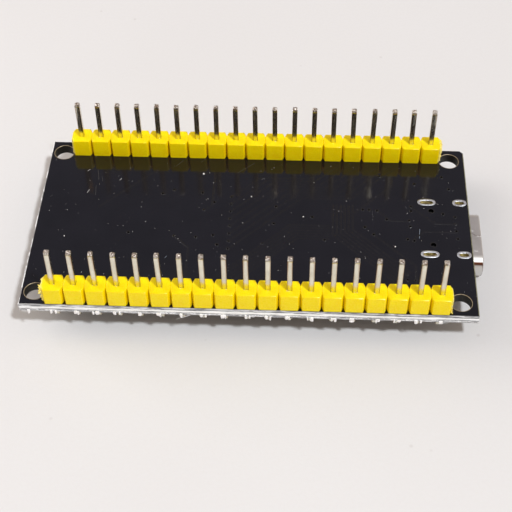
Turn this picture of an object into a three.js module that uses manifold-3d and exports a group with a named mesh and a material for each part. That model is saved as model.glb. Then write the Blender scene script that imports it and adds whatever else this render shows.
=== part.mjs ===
// A microcontroller development board with two rows of header pins, lying with its pins up.
// Its component side is down, and it rests on the radio module's can and the USB connector.
//
// Millimetres, +Z up, +X towards the USB connector. The origin is on the resting surface,
// below the middle of the whole object.

import * as THREE from 'three';
import { mergeVertices } from 'three/addons/utils/BufferGeometryUtils.js';
import Module from 'manifold-3d';

const wasm = await Module();
wasm.setup();

// ---- Driving dimensions -----------------------------------------------------------------

// Header pin grid: the middle of the grid is at x = 0, y = 0 of the board
const PIN_PITCH = 2.54;
const PINS_PER_ROW = 19;
const ROW_SPACING = 25.4;
const PIN_WIDTH = 0.64;
const PIN_POINT_LENGTH = 0.3;
const PIN_POINT_INSET = 0.14;
const PIN_ABOVE_HOUSING = 5.5;
const PIN_TAIL = 1.85;

// Header housing: one octagonal block for each pin, in one moulding
const HOUSING_HEIGHT = 2.54;
const HOUSING_CHAMFER_ALONG = 0.28;
const HOUSING_CHAMFER_ACROSS = 0.5;
const HOUSING_HOLE_WIDTH = 0.68;

// Circuit board
const BOARD_LEFT = -27.0;
const BOARD_RIGHT = 27.4;
const BOARD_WIDTH = 27.94;
const BOARD_THICKNESS = 1.3;
const BOARD_CORNER_CUT = 0.45;
const PIN_HOLE_RADIUS = 0.51;
const PIN_HOLE_SIDES = 8;
const MOUNTING_HOLE_X = 25.4;
const MOUNTING_HOLE_Y = 12.0;
const MOUNTING_HOLE_RADIUS = 1.3;
const MOUNTING_HOLE_SIDES = 40;

// Everything on the component side is this tall or less, and the board rests on the tallest
const COMPONENT_HEIGHT = 3.3;
const SOLDER_FILM = 0.04;
const FIT_GAP = 0.02;

// Radio module, with its antenna at the end away from the USB connector
const MODULE_LENGTH = 25.5;
const MODULE_WIDTH = 18.0;
const MODULE_THICKNESS = 0.8;
const MODULE_EDGE_PAD_PITCH = 1.27;
const MODULE_EDGE_PAD_RADIUS = 0.3;
const MODULE_SIDE_PADS = 14;
const MODULE_END_PADS = 10;
const MODULE_FIRST_SIDE_PAD = 1.5;
const CAN_LENGTH = 17.6;
const CAN_WIDTH = 15.8;
const CAN_END_MARGIN = 1.1;
const CAN_CORNER_RADIUS = 0.8;
const CAN_WALL = 0.2;

// USB connector
const USB_OVERHANG = 1.5;
const USB_LENGTH = 7.35;
const USB_WIDTH = 9.14;
const USB_HEIGHT = COMPONENT_HEIGHT - SOLDER_FILM;
const USB_WALL = 0.3;
const USB_END_RADIUS = 1.5;
const USB_ARC_STEPS = 6;
const USB_SLOT_Y = 4.42;
const USB_SLOT_WIDTH = 0.6;
const USB_LEG_RECESS = 0.45;
const USB_LEG_SIDE_GAP = 0.1;
const USB_SLOTS = [
  { x: 22.13, length: 1.7 },
  { x: 26.3, length: 1.2 },
];
const USB_PEG_X = 22.63;
const USB_PEG_Y = 2.89;
const USB_PEG_HOLE_RADIUS = 0.33;
const USB_PEG_RADIUS = 0.25;
const USB_PEG_HEIGHT = 0.9;
const USB_BACK_NOTCH_LENGTH = 1.8;
const USB_BACK_NOTCH_WIDTH = 6.8;
const USB_INSULATOR_DEPTH = 2.4;
const USB_TONGUE_WIDTH = 6.69;
const USB_TONGUE_THICKNESS = 0.7;
const USB_TONGUE_SETBACK = 0.6;

// Push buttons, one on each side of the USB connector
const BUTTON_X = 22.3;
const BUTTON_Y = 8.1;
const BUTTON_LENGTH = 3.0;
const BUTTON_WIDTH = 4.0;
const BUTTON_BASE_HEIGHT = 1.15;
const BUTTON_CUP_RADIUS = 1.25;
const BUTTON_CUP_FLOOR = 0.45;
const BUTTON_COVER_THICKNESS = 0.12;
const BUTTON_COVER_SKIRT = 0.7;
const BUTTON_STEM_RADIUS = 0.85;
const BUTTON_FLANGE_RADIUS = 1.15;
const BUTTON_FLANGE_THICKNESS = 0.2;
const BUTTON_HEIGHT = 2.0;
const DOME_RADIUS = 1.15;
const DOME_RISE = 0.3;
const DOME_THICKNESS = 0.08;
const ROUND_SIDES = 20;

// ---- Heights and edges that follow from them --------------------------------------------

const COMPONENT_FACE = COMPONENT_HEIGHT;
const PIN_FACE = COMPONENT_FACE + BOARD_THICKNESS;
const HOUSING_BOTTOM = PIN_FACE + FIT_GAP;
const PIN_TOP = HOUSING_BOTTOM + HOUSING_HEIGHT + PIN_ABOVE_HOUSING;
const PIN_BOTTOM = COMPONENT_FACE - PIN_TAIL;
const HOUSING_WIDTH = PIN_PITCH;
const USB_MOUTH = BOARD_RIGHT + USB_OVERHANG;
const USB_BACK = USB_MOUTH - USB_LENGTH;
const MODULE_END = BOARD_LEFT + MODULE_LENGTH;
const MODULE_FACE = COMPONENT_FACE - SOLDER_FILM - MODULE_THICKNESS;
const MIDDLE_X = (BOARD_LEFT + USB_MOUTH) / 2;

// ---- Materials --------------------------------------------------------------------------

const finish = (color, roughness, metalness) => () =>
  new THREE.MeshStandardMaterial({ color, roughness, metalness });

const blackSolderMask = finish('#1d1d22', 0.15, 0.0);
const yellowPlastic = finish('#ffe600', 0.45, 0.0);
const platedPin = finish('#c9c4b8', 0.25, 1.0);
const platedSteel = finish('#b4b4b2', 0.35, 1.0);
const blackPlastic = finish('#17171a', 0.5, 0.0);
const clearPlastic = finish('#d9dcd6', 0.3, 0.0);

// ---- Shape helpers ----------------------------------------------------------------------

function toSolid(geometry) {
  const plain = geometry.clone();
  plain.deleteAttribute('normal');
  plain.deleteAttribute('uv');
  const merged = mergeVertices(plain, 1e-4);
  const mesh = new wasm.Mesh({
    numProp: 3,
    vertProperties: merged.attributes.position.array,
    triVerts: Uint32Array.from(merged.index.array),
  });
  return new wasm.Manifold(mesh);
}

function toGeometry(solid) {
  const mesh = solid.getMesh();
  const geometry = new THREE.BufferGeometry();
  geometry.setAttribute('position', new THREE.BufferAttribute(mesh.vertProperties, 3));
  geometry.setIndex(new THREE.BufferAttribute(mesh.triVerts, 1));
  geometry.computeVertexNormals();
  return geometry;
}

function joined(first, ...others) {
  return toGeometry(others.reduce((solid, other) => solid.add(toSolid(other)), toSolid(first)));
}

function cut(first, ...cutters) {
  return toGeometry(cutters.reduce((solid, other) => solid.subtract(toSolid(other)), toSolid(first)));
}

// A block between two heights, centred on (x, y)
function block(x, y, sizeX, sizeY, low, high) {
  const geometry = new THREE.BoxGeometry(sizeX, sizeY, high - low);
  return geometry.translate(x, y, (low + high) / 2);
}

function extrude(shape, low, high, curveSegments = 6) {
  const geometry = new THREE.ExtrudeGeometry(shape, {
    depth: high - low,
    bevelEnabled: false,
    curveSegments,
  });
  return geometry.translate(0, 0, low);
}

// A round piece about the local Z axis, between two heights
function disc(radius, low, high) {
  const geometry = new THREE.CylinderGeometry(radius, radius, high - low, ROUND_SIDES);
  return geometry.rotateX(Math.PI / 2).translate(0, 0, (low + high) / 2);
}

function ringPoints(x, y, radius, sides) {
  return Array.from({ length: sides }, (_, i) => {
    const angle = (i / sides) * 2 * Math.PI;
    return new THREE.Vector2(x + radius * Math.cos(angle), y + radius * Math.sin(angle));
  });
}

function roundHole(x, y, radius, sides) {
  return new THREE.Path(ringPoints(x, y, radius, sides));
}

function addRoundedRectangle(path, x, y, length, width, radius) {
  const right = x + length / 2 - radius;
  const left = x - length / 2 + radius;
  const top = y + width / 2 - radius;
  const bottom = y - width / 2 + radius;
  path.absarc(right, bottom, radius, -Math.PI / 2, 0);
  path.absarc(right, top, radius, 0, Math.PI / 2);
  path.absarc(left, top, radius, Math.PI / 2, Math.PI);
  path.absarc(left, bottom, radius, Math.PI, Math.PI * 1.5);
  path.closePath();
  return path;
}

const roundedShape = (...size) => addRoundedRectangle(new THREE.Shape(), ...size);
const roundedPath = (...size) => addRoundedRectangle(new THREE.Path(), ...size);

function part(name, geometry, material) {
  const mesh = new THREE.Mesh(geometry, material());
  mesh.name = name;
  return mesh;
}

// Puts a piece made in its own frame, standing on z = 0, under the board and upside down
function mountBelow(piece, x, y, turn = 0, height = COMPONENT_FACE - SOLDER_FILM) {
  piece.position.set(x, y, height);
  piece.rotation.set(Math.PI, 0, turn);
  return piece;
}

// ---- Header pins and their housings -----------------------------------------------------

const pinX = (index) => (index - (PINS_PER_ROW - 1) / 2) * PIN_PITCH;

const PIN_ROWS = [
  { name: 'near', y: -ROW_SPACING / 2 },
  { name: 'far', y: ROW_SPACING / 2 },
];

const PIN_PLACES = PIN_ROWS.flatMap((row) =>
  Array.from({ length: PINS_PER_ROW }, (_, index) => ({ row, index, x: pinX(index), y: row.y })));

// A square pin with all four edges of each end bevelled
function pinGeometry() {
  const half = PIN_WIDTH / 2;
  const corners = [[-half, -half], [half, -half], [half, half], [-half, half]];
  const shape = new THREE.Shape(corners.map(([x, y]) => new THREE.Vector2(x, y)));
  const geometry = new THREE.ExtrudeGeometry(shape, {
    depth: PIN_TOP - PIN_BOTTOM - 2 * PIN_POINT_LENGTH,
    bevelThickness: PIN_POINT_LENGTH,
    bevelSize: PIN_POINT_INSET,
    bevelOffset: -PIN_POINT_INSET,
    bevelSegments: 1,
  });
  return geometry.translate(0, 0, PIN_BOTTOM + PIN_POINT_LENGTH);
}

function headerPin({ row, index, x, y }) {
  const number = String(index + 1).padStart(2, '0');
  const pin = part(`header_pin_${row.name}_${number}`, pinGeometry(), platedPin);
  pin.position.set(x, y, 0);
  return pin;
}

// One long side of the strip: flat faces with a V notch between neighbours
function housingSide(side) {
  const half = HOUSING_WIDTH / 2;
  const faceEnd = PIN_PITCH / 2 - HOUSING_CHAMFER_ALONG;
  const notchY = side * (half - HOUSING_CHAMFER_ACROSS);
  const points = [new THREE.Vector2(pinX(0) - PIN_PITCH / 2, notchY)];
  for (let index = 0; index < PINS_PER_ROW; index += 1) {
    points.push(new THREE.Vector2(pinX(index) - faceEnd, side * half));
    points.push(new THREE.Vector2(pinX(index) + faceEnd, side * half));
    points.push(new THREE.Vector2(pinX(index) + PIN_PITCH / 2, notchY));
  }
  return points;
}

function headerHousing(row) {
  const shape = new THREE.Shape([...housingSide(-1), ...housingSide(1).reverse()]);
  const [low, high] = [HOUSING_BOTTOM, HOUSING_BOTTOM + HOUSING_HEIGHT];
  const holes = Array.from({ length: PINS_PER_ROW }, (_, index) =>
    block(pinX(index), 0, HOUSING_HOLE_WIDTH, HOUSING_HOLE_WIDTH, low - 1, high + 1));
  const geometry = cut(extrude(shape, low, high), ...holes);
  const housing = part(`header_housing_${row.name}`, geometry, yellowPlastic);
  housing.position.y = row.y;
  return housing;
}

// ---- Circuit board ----------------------------------------------------------------------

// A rectangle with square corners, but for the one beside the USB connector on the far side
function boardOutline() {
  const half = BOARD_WIDTH / 2;
  const shape = new THREE.Shape();
  shape.moveTo(BOARD_LEFT, -half);
  shape.lineTo(BOARD_RIGHT, -half);
  shape.lineTo(BOARD_RIGHT, half - BOARD_CORNER_CUT);
  shape.lineTo(BOARD_RIGHT - BOARD_CORNER_CUT, half);
  shape.lineTo(BOARD_LEFT, half);
  shape.closePath();
  return shape;
}

function circuitBoard() {
  const shape = boardOutline();
  for (const { x, y } of PIN_PLACES) {
    shape.holes.push(roundHole(x, y, PIN_HOLE_RADIUS, PIN_HOLE_SIDES));
  }
  for (const side of [-1, 1]) {
    for (const end of [-1, 1]) {
      const [x, y] = [end * MOUNTING_HOLE_X, side * MOUNTING_HOLE_Y];
      shape.holes.push(roundHole(x, y, MOUNTING_HOLE_RADIUS, MOUNTING_HOLE_SIDES));
    }
    for (const slot of USB_SLOTS) {
      const radius = USB_SLOT_WIDTH / 2;
      shape.holes.push(roundedPath(slot.x, side * USB_SLOT_Y, slot.length, USB_SLOT_WIDTH, radius));
    }
    shape.holes.push(roundHole(USB_PEG_X, side * USB_PEG_Y, USB_PEG_HOLE_RADIUS, ROUND_SIDES));
  }
  return part('circuit_board', extrude(shape, COMPONENT_FACE, PIN_FACE, 4), blackSolderMask);
}

// ---- Radio module -----------------------------------------------------------------------

// The module board's outline, with a half-round plated notch at each edge pad
function moduleOutline() {
  const half = MODULE_WIDTH / 2;
  const shape = new THREE.Shape();
  const notch = (x, y, start) =>
    shape.absarc(x, y, MODULE_EDGE_PAD_RADIUS, start, start - Math.PI, true);
  const sidePadX = (index) => MODULE_END - MODULE_FIRST_SIDE_PAD - index * MODULE_EDGE_PAD_PITCH;
  const endPadY = (index) => (index - (MODULE_END_PADS - 1) / 2) * MODULE_EDGE_PAD_PITCH;
  shape.moveTo(BOARD_LEFT, half);
  shape.lineTo(BOARD_LEFT, -half);
  for (let index = MODULE_SIDE_PADS - 1; index >= 0; index -= 1) {
    notch(sidePadX(index), -half, Math.PI);
  }
  shape.lineTo(MODULE_END, -half);
  for (let index = 0; index < MODULE_END_PADS; index += 1) {
    notch(MODULE_END, endPadY(index), -Math.PI / 2);
  }
  shape.lineTo(MODULE_END, half);
  for (let index = 0; index < MODULE_SIDE_PADS; index += 1) {
    notch(sidePadX(index), half, 0);
  }
  shape.closePath();
  return shape;
}

function moduleBoard() {
  const geometry = extrude(moduleOutline(), MODULE_FACE, MODULE_FACE + MODULE_THICKNESS, 3);
  return part('radio_module_board', geometry, blackSolderMask);
}

// The screening can: a drawn lid with four walls, open towards the module board
function moduleCan() {
  const x = MODULE_END - CAN_END_MARGIN - CAN_LENGTH / 2;
  const outer = roundedShape(x, 0, CAN_LENGTH, CAN_WIDTH, CAN_CORNER_RADIUS);
  const insideLength = CAN_LENGTH - 2 * CAN_WALL;
  const insideWidth = CAN_WIDTH - 2 * CAN_WALL;
  const inner = roundedShape(x, 0, insideLength, insideWidth, CAN_CORNER_RADIUS - CAN_WALL);
  const rim = MODULE_FACE - FIT_GAP;
  const geometry = cut(extrude(outer, 0, rim), extrude(inner, CAN_WALL, rim + 1));
  return part('radio_module_can', geometry, platedSteel);
}

// A flat chip standing on z = 0, with its first corner cut off
function chipGeometry(length, width, height) {
  const [right, top, corner] = [length / 2, width / 2, 0.35];
  const shape = new THREE.Shape();
  shape.moveTo(-right + corner, -top);
  shape.lineTo(right, -top);
  shape.lineTo(right, top);
  shape.lineTo(-right, top);
  shape.lineTo(-right, -top + corner);
  shape.closePath();
  return extrude(shape, 0, height);
}

// A crystal: a ceramic base with a smaller metal lid
function crystalGeometry() {
  const base = extrude(roundedShape(0, 0, 3.2, 2.5, 0.2), 0, 0.5);
  const lid = extrude(roundedShape(0, 0, 2.8, 2.1, 0.3), 0.3, 0.8);
  return joined(base, lid);
}

function moduleChips() {
  const height = MODULE_FACE - SOLDER_FILM;
  const processor = part('radio_processor_chip', chipGeometry(5, 5, 0.85), blackPlastic);
  const flash = part('radio_flash_chip', chipGeometry(6, 5, 0.8), blackPlastic);
  const crystal = part('radio_crystal', crystalGeometry(), platedSteel);
  mountBelow(processor, -13.4, 1.2, 0, height);
  mountBelow(flash, -6.8, -4.2, 0, height);
  mountBelow(crystal, -7.4, 3.6, 0, height);
  return [processor, flash, crystal];
}

// ---- USB connector ----------------------------------------------------------------------

// A flattened ring section in the YZ plane, extruded along +X from x to x + length
function alongX(shape, x, length) {
  const geometry = extrude(shape, 0, length, USB_ARC_STEPS);
  return geometry.rotateX(Math.PI / 2).rotateZ(Math.PI / 2).translate(x, 0, USB_HEIGHT / 2);
}

// The shell's four legs rise from its side walls into the board's plated slots
function usbLegs() {
  const legTop = PIN_FACE - USB_LEG_RECESS;
  return [-1, 1].flatMap((side) => USB_SLOTS.map((slot) =>
    block(slot.x, side * USB_SLOT_Y, slot.length - 2 * USB_LEG_SIDE_GAP, USB_WALL, USB_HEIGHT / 2, legTop)));
}

function usbShell() {
  const outer = roundedShape(0, 0, USB_WIDTH, USB_HEIGHT, USB_END_RADIUS);
  const [width, height] = [USB_WIDTH - 2 * USB_WALL, USB_HEIGHT - 2 * USB_WALL];
  outer.holes.push(roundedPath(0, 0, width, height, USB_END_RADIUS - USB_WALL));
  const tube = alongX(outer, USB_BACK, USB_LENGTH);
  const notchLength = USB_BACK_NOTCH_LENGTH + 1;
  const notchX = USB_BACK + USB_BACK_NOTCH_LENGTH - notchLength / 2;
  const notch = block(
    notchX, 0, notchLength, USB_BACK_NOTCH_WIDTH, USB_HEIGHT - USB_WALL - 0.1, USB_HEIGHT + 1);
  return part('usb_shell', joined(cut(tube, notch), ...usbLegs()), platedSteel);
}

// The moulded insulator fills the back of the shell, holds the tongue and stands on two pegs
function usbInsulator() {
  const inset = USB_WALL + FIT_GAP;
  const plug = roundedShape(
    0, 0, USB_WIDTH - 2 * inset, USB_HEIGHT - 2 * inset, USB_END_RADIUS - inset);
  const body = alongX(plug, USB_BACK, USB_INSULATOR_DEPTH);
  const [low, high] = [USB_HEIGHT - USB_WALL - 0.1, USB_HEIGHT];
  const padLength = USB_BACK_NOTCH_LENGTH - 0.1;
  const pad = block(USB_BACK + padLength / 2, 0, padLength, USB_BACK_NOTCH_WIDTH - 0.2, low, high);
  const tongueEnd = USB_MOUTH - USB_TONGUE_SETBACK;
  const tongueLength = tongueEnd - USB_BACK - 1;
  const middle = USB_HEIGHT / 2;
  const tongue = block(
    tongueEnd - tongueLength / 2, 0, tongueLength, USB_TONGUE_WIDTH,
    middle - USB_TONGUE_THICKNESS / 2, middle + USB_TONGUE_THICKNESS / 2);
  const pegs = [-1, 1].map((side) =>
    disc(USB_PEG_RADIUS, USB_HEIGHT - 0.2, COMPONENT_FACE + USB_PEG_HEIGHT)
      .translate(USB_PEG_X, side * USB_PEG_Y, 0));
  return part('usb_insulator', joined(body, pad, tongue, ...pegs), blackPlastic);
}

// ---- Push buttons -----------------------------------------------------------------------

// The moulded base: a block with a round cup and four flat terminals at its foot
function buttonBase() {
  const body = block(0, 0, BUTTON_LENGTH, BUTTON_WIDTH, 0, BUTTON_BASE_HEIGHT);
  const cup = disc(BUTTON_CUP_RADIUS, BUTTON_CUP_FLOOR, BUTTON_BASE_HEIGHT + 1);
  const terminals = [-1, 1].flatMap((end) => [-1, 1].map((side) =>
    block(end * 1.5, side * 1.2, 1.0, 0.6, 0, 0.18)));
  return joined(cut(body, cup), ...terminals);
}

// The snap dome that clicks and pushes the plunger back
function buttonDome() {
  const steps = 4;
  const rise = (radius) => DOME_RISE * (1 - (radius / DOME_RADIUS) ** 2);
  const profile = [];
  for (let step = 0; step <= steps; step += 1) {
    const radius = (DOME_RADIUS * step) / steps;
    profile.push(new THREE.Vector2(radius, rise(radius)));
  }
  for (let step = steps; step >= 0; step -= 1) {
    const radius = (DOME_RADIUS * step) / steps;
    profile.push(new THREE.Vector2(radius, rise(radius) + DOME_THICKNESS));
  }
  const geometry = new THREE.LatheGeometry(profile, ROUND_SIDES);
  return geometry.rotateX(Math.PI / 2).translate(0, 0, BUTTON_CUP_FLOOR + FIT_GAP);
}

// The pressed part: a stem through the cover, with a flange that keeps it in
function buttonPlunger() {
  const flangeTop = BUTTON_BASE_HEIGHT;
  const flange = disc(BUTTON_FLANGE_RADIUS, flangeTop - BUTTON_FLANGE_THICKNESS, flangeTop);
  const stem = disc(BUTTON_STEM_RADIUS, flangeTop - BUTTON_FLANGE_THICKNESS / 2, BUTTON_HEIGHT);
  return joined(flange, stem);
}

// The steel cover: a plate with a round hole, folded down over two sides of the base
function buttonCover() {
  const low = BUTTON_BASE_HEIGHT + FIT_GAP;
  const high = low + BUTTON_COVER_THICKNESS;
  const width = BUTTON_WIDTH + 2 * (FIT_GAP + BUTTON_COVER_THICKNESS);
  const plate = roundedShape(0, 0, BUTTON_LENGTH, width, 0.1);
  plate.holes.push(roundHole(0, 0, BUTTON_STEM_RADIUS + 0.05, ROUND_SIDES));
  const skirtY = BUTTON_WIDTH / 2 + FIT_GAP + BUTTON_COVER_THICKNESS / 2;
  const skirts = [-1, 1].map((side) =>
    block(0, side * skirtY, BUTTON_LENGTH - 0.4, BUTTON_COVER_THICKNESS, high - BUTTON_COVER_SKIRT, high));
  return joined(extrude(plate, low, high), ...skirts);
}

function pushButton(name, side) {
  const pieces = [
    part(`${name}_button_base`, buttonBase(), blackPlastic),
    part(`${name}_button_dome`, buttonDome(), platedSteel),
    part(`${name}_button_plunger`, buttonPlunger(), blackPlastic),
    part(`${name}_button_cover`, buttonCover(), platedSteel),
  ];
  return pieces.map((piece) => mountBelow(piece, BUTTON_X, side * BUTTON_Y));
}

// ---- Other components -------------------------------------------------------------------

// A moulded body whose four walls lean in a little towards its top and bottom
function mouldedBody(length, width, low, high) {
  const draft = 0.12;
  const bevel = (high - low) / 2;
  const shape = roundedShape(0, 0, length - 2 * draft, width - 2 * draft, 0.1);
  const geometry = new THREE.ExtrudeGeometry(shape, {
    depth: 0.01,
    bevelThickness: bevel - 0.005,
    bevelSize: draft,
    bevelSegments: 1,
    curveSegments: 2,
  });
  return geometry.translate(0, 0, (low + high) / 2 - 0.005);
}

// A lead that leaves the body at half height and steps down to the board, towards +X
function gullWing(x, y, width, bodyEdge, reach) {
  const [thickness, knee, shoulder] = [0.25, 0.35, 0.9];
  const shape = new THREE.Shape();
  shape.moveTo(bodyEdge - 0.4, shoulder);
  shape.lineTo(bodyEdge + knee, shoulder);
  shape.lineTo(bodyEdge + knee + thickness, 0);
  shape.lineTo(reach, 0);
  shape.lineTo(reach, thickness);
  shape.lineTo(bodyEdge + knee + 2 * thickness, thickness);
  shape.lineTo(bodyEdge + knee + thickness, shoulder + thickness);
  shape.lineTo(bodyEdge - 0.4, shoulder + thickness);
  shape.closePath();
  const lead = extrude(shape, -width / 2, width / 2);
  return lead.rotateX(Math.PI / 2).translate(x, y, 0);
}

// A regulator with three leads on one side and a wide cooling tab on the other
function voltageRegulator() {
  const [length, width, pitch] = [3.5, 6.5, 2.3];
  const body = mouldedBody(length, width, 0.1, 1.7);
  const leads = [-1, 0, 1].map((step) => gullWing(0, step * pitch, 0.7, length / 2, 3.5));
  const tab = gullWing(0, 0, 3.0, length / 2, 3.5).rotateZ(Math.PI);
  const regulator = part('voltage_regulator', joined(body, ...leads, tab), blackPlastic);
  return mountBelow(regulator, 13.2, -6.0);
}

function usbSerialChip() {
  const chip = part('usb_serial_chip', chipGeometry(5, 5, 0.85), blackPlastic);
  return mountBelow(chip, 6.4, 3.4, Math.PI / 2);
}

// A diode with a flat lead folded under each end
function polarityDiode() {
  const body = mouldedBody(4.3, 2.6, 0.15, 2.2);
  const leads = [-1, 1].map((end) =>
    joined(
      block(end * 1.75, 0, 1.3, 1.45, 0, 0.2),
      block(end * 2.3, 0, 0.2, 1.45, 0, 1.15),
      block(end * 2.1, 0, 0.6, 1.45, 1.0, 1.2)));
  const diode = part('polarity_diode', joined(body, ...leads), blackPlastic);
  return mountBelow(diode, 16.4, 7.2);
}

// A small lamp: a flat base with a clear block on it
function powerLamp() {
  const base = block(0, 0, 2.0, 1.25, 0, 0.4);
  const lens = extrude(roundedShape(0, 0, 1.3, 1.15, 0.15), 0.3, 0.8);
  return mountBelow(part('power_lamp', joined(base, lens), clearPlastic), 1.2, 9.2);
}

// ---- The whole board --------------------------------------------------------------------

const group = new THREE.Group();
group.add(
  circuitBoard(),
  ...PIN_ROWS.map(headerHousing),
  ...PIN_PLACES.map(headerPin),
  moduleBoard(),
  moduleCan(),
  ...moduleChips(),
  usbShell(),
  usbInsulator(),
  ...pushButton('reset', -1),
  ...pushButton('boot', 1),
  voltageRegulator(),
  usbSerialChip(),
  polarityDiode(),
  powerLamp(),
);
group.position.x = -MIDDLE_X;

export default group;
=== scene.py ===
"""A microcontroller development board lying with its header pins up, on a pale table.

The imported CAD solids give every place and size. Pieces made here add what soldering, moulding
and cutting leave on such a board. Lengths are in millimetres in the CAD frame, and to_object
turns them into metres.
"""

import math
import random

import bmesh
import bpy
from mathutils import Matrix, Vector, noise


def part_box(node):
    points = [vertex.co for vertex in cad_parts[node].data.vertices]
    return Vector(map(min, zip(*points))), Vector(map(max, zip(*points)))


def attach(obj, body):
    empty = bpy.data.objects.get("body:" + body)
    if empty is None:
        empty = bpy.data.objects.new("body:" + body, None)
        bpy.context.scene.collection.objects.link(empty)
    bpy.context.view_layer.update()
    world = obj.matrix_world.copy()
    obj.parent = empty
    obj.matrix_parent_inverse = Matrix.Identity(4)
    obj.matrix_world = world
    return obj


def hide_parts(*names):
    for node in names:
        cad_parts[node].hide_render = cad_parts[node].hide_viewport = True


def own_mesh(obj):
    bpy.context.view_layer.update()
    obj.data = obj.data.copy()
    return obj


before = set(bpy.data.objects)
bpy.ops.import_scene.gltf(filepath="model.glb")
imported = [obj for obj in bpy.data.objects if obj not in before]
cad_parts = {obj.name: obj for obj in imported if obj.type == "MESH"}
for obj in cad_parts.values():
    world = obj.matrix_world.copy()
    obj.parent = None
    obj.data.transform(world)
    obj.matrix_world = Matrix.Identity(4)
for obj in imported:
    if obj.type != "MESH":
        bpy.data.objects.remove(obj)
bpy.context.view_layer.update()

MM = 0.001
ROOT = "board"

# ---- Places read from the CAD solids ----------------------------------------------------


class Box:
    """A node's box at rest, in millimetres."""

    def __init__(self, node):
        self.node = node
        self.low, self.high = (Vector(corner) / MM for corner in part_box(node))
        self.middle = (self.low + self.high) / 2
        self.size = self.high - self.low


BOARD = Box("circuit_board")
HOUSING = Box("header_housing_near")
USB = Box("usb_shell")
MODULE = Box("radio_module_board")
CAN = Box("radio_module_can")
PIN_FACE = BOARD.high.z
COMPONENT_FACE = BOARD.low.z
HOUSING_TOP = HOUSING.high.z
HOUSING_HALF = HOUSING.size.y / 2
PINS_PER_ROW = 19
PINS = {row: [Box(f"header_pin_{row}_{i + 1:02d}") for i in range(PINS_PER_ROW)]
        for row in ("near", "far")}
ROWS = {row: pins[9].middle.y for row, pins in PINS.items()}
GRID = (PINS["near"][9].middle + PINS["far"][9].middle) / 2
PITCH = (PINS["near"][1].middle - PINS["near"][0].middle).x

# Sizes of the real board that its bounding boxes don't show
MOUNTING_HOLE = {"x": 25.4, "y": 12.0, "radius": 1.3}
USB_SLOT_Y = 4.42
USB_SLOTS = ((22.13, 1.7), (26.3, 1.2))
USB_SLOT_WIDTH = 0.6
USB_PEG = Vector((22.63, 2.89, 0))

EAST, NORTH, UP = Vector((1, 0, 0)), Vector((0, 1, 0)), Vector((0, 0, 1))


def on_board(x, y, z=0.0):
    """A point measured from the middle of the pin grid."""
    return Vector((GRID.x + x, GRID.y + y, z))


def heading(turn):
    """The level direction at an angle from the X axis."""
    return Vector((math.cos(turn), math.sin(turn), 0))


def to_object(name, builder, material):
    """Makes a Blender object, in metres, from a mesh under construction."""
    mesh = bpy.data.meshes.new(name)
    builder.to_mesh(mesh)
    builder.free()
    mesh.transform(Matrix.Scale(MM, 4))
    mesh.materials.append(material)
    thing = bpy.data.objects.new(name, mesh)
    bpy.context.collection.objects.link(thing)
    return thing


# ---- Camera and light -------------------------------------------------------------------

CAMERA_AZIMUTH = math.radians(3.02)
CAMERA_ELEVATION = math.radians(48.55)
CAMERA_ROLL = math.radians(-0.74)
CAMERA_DISTANCE = 149.67
CAMERA_SHIFT = Vector((0.58, -4.13))
CAMERA_LENS = 83.78
# Name, direction, distance and width in metres, power in watts, colour
LIGHTS = (
    ("key_light", Vector((0.40, -0.41, 1.0)).normalized(), 1.4, 0.15, 13.6, (0.965, 1.0, 1.04)),
    ("side_fill", Vector((-0.85, 0.25, 0.45)).normalized(), 0.5, 0.4, 1.18, (1.0, 0.965, 0.93)),
)
# The room's light: the axis that it changes along, where the change starts and ends, and both colours
ROOM = (Vector((0.05, -0.58, 0.81)).normalized(), 0.55, 0.92, (1.0, 0.86, 0.76), (0.52, 0.42, 0.345))
# A darker, bluer patch of the room, which the mask mirrors
MIRRORED = (Vector((0.0, 0.66, 0.75)), 0.80, 0.94, (1.0, 1.0, 1.0), (0.46, 0.50, 0.645))
ROOM_STRENGTH = 0.63


def add_camera():
    az, el = CAMERA_AZIMUTH, CAMERA_ELEVATION
    back = Vector((math.sin(az) * math.cos(el), -math.cos(az) * math.cos(el), math.sin(el)))
    right = (-back).cross(UP).normalized()
    up = right.cross(-back)
    turned_right = right * math.cos(CAMERA_ROLL) + up * math.sin(CAMERA_ROLL)
    turned_up = up * math.cos(CAMERA_ROLL) - right * math.sin(CAMERA_ROLL)
    middle = Vector((GRID.x, GRID.y, PIN_FACE))
    place = middle + back * CAMERA_DISTANCE
    place += turned_right * CAMERA_SHIFT.x + turned_up * CAMERA_SHIFT.y
    data = bpy.data.cameras.new("camera")
    data.lens = CAMERA_LENS
    data.sensor_width = 36
    data.clip_start = 0.005
    camera = bpy.data.objects.new("camera", data)
    axes = Matrix((turned_right, turned_up, back)).transposed()
    camera.matrix_world = Matrix.Translation(place * MM) @ axes.to_4x4()
    bpy.context.collection.objects.link(camera)
    bpy.context.scene.camera = camera


class Nodes:
    """Adds shader nodes to a tree, each with its inputs and settings in one short call."""

    def __init__(self, tree):
        self.tree = tree

    def feed(self, socket, value):
        if isinstance(value, bpy.types.NodeSocket):
            self.tree.links.new(value, socket)
        else:
            socket.default_value = value

    def add(self, kind, inputs=None, **settings):
        node = self.tree.nodes.new(f"ShaderNode{kind}")
        for key, value in settings.items():
            setattr(node, key, value)
        for socket, value in (inputs or {}).items():
            self.feed(node.inputs[socket], value)
        return node


def add_area_light(name, direction, distance, width, power, colour):
    data = bpy.data.lights.new(name, "AREA")
    data.shape = "DISK"
    data.size = width
    data.energy = power
    data.color = colour
    light = bpy.data.objects.new(name, data)
    light.location = direction * distance
    light.rotation_euler = direction.to_track_quat("Z", "Y").to_euler()
    bpy.context.collection.objects.link(light)


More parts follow.
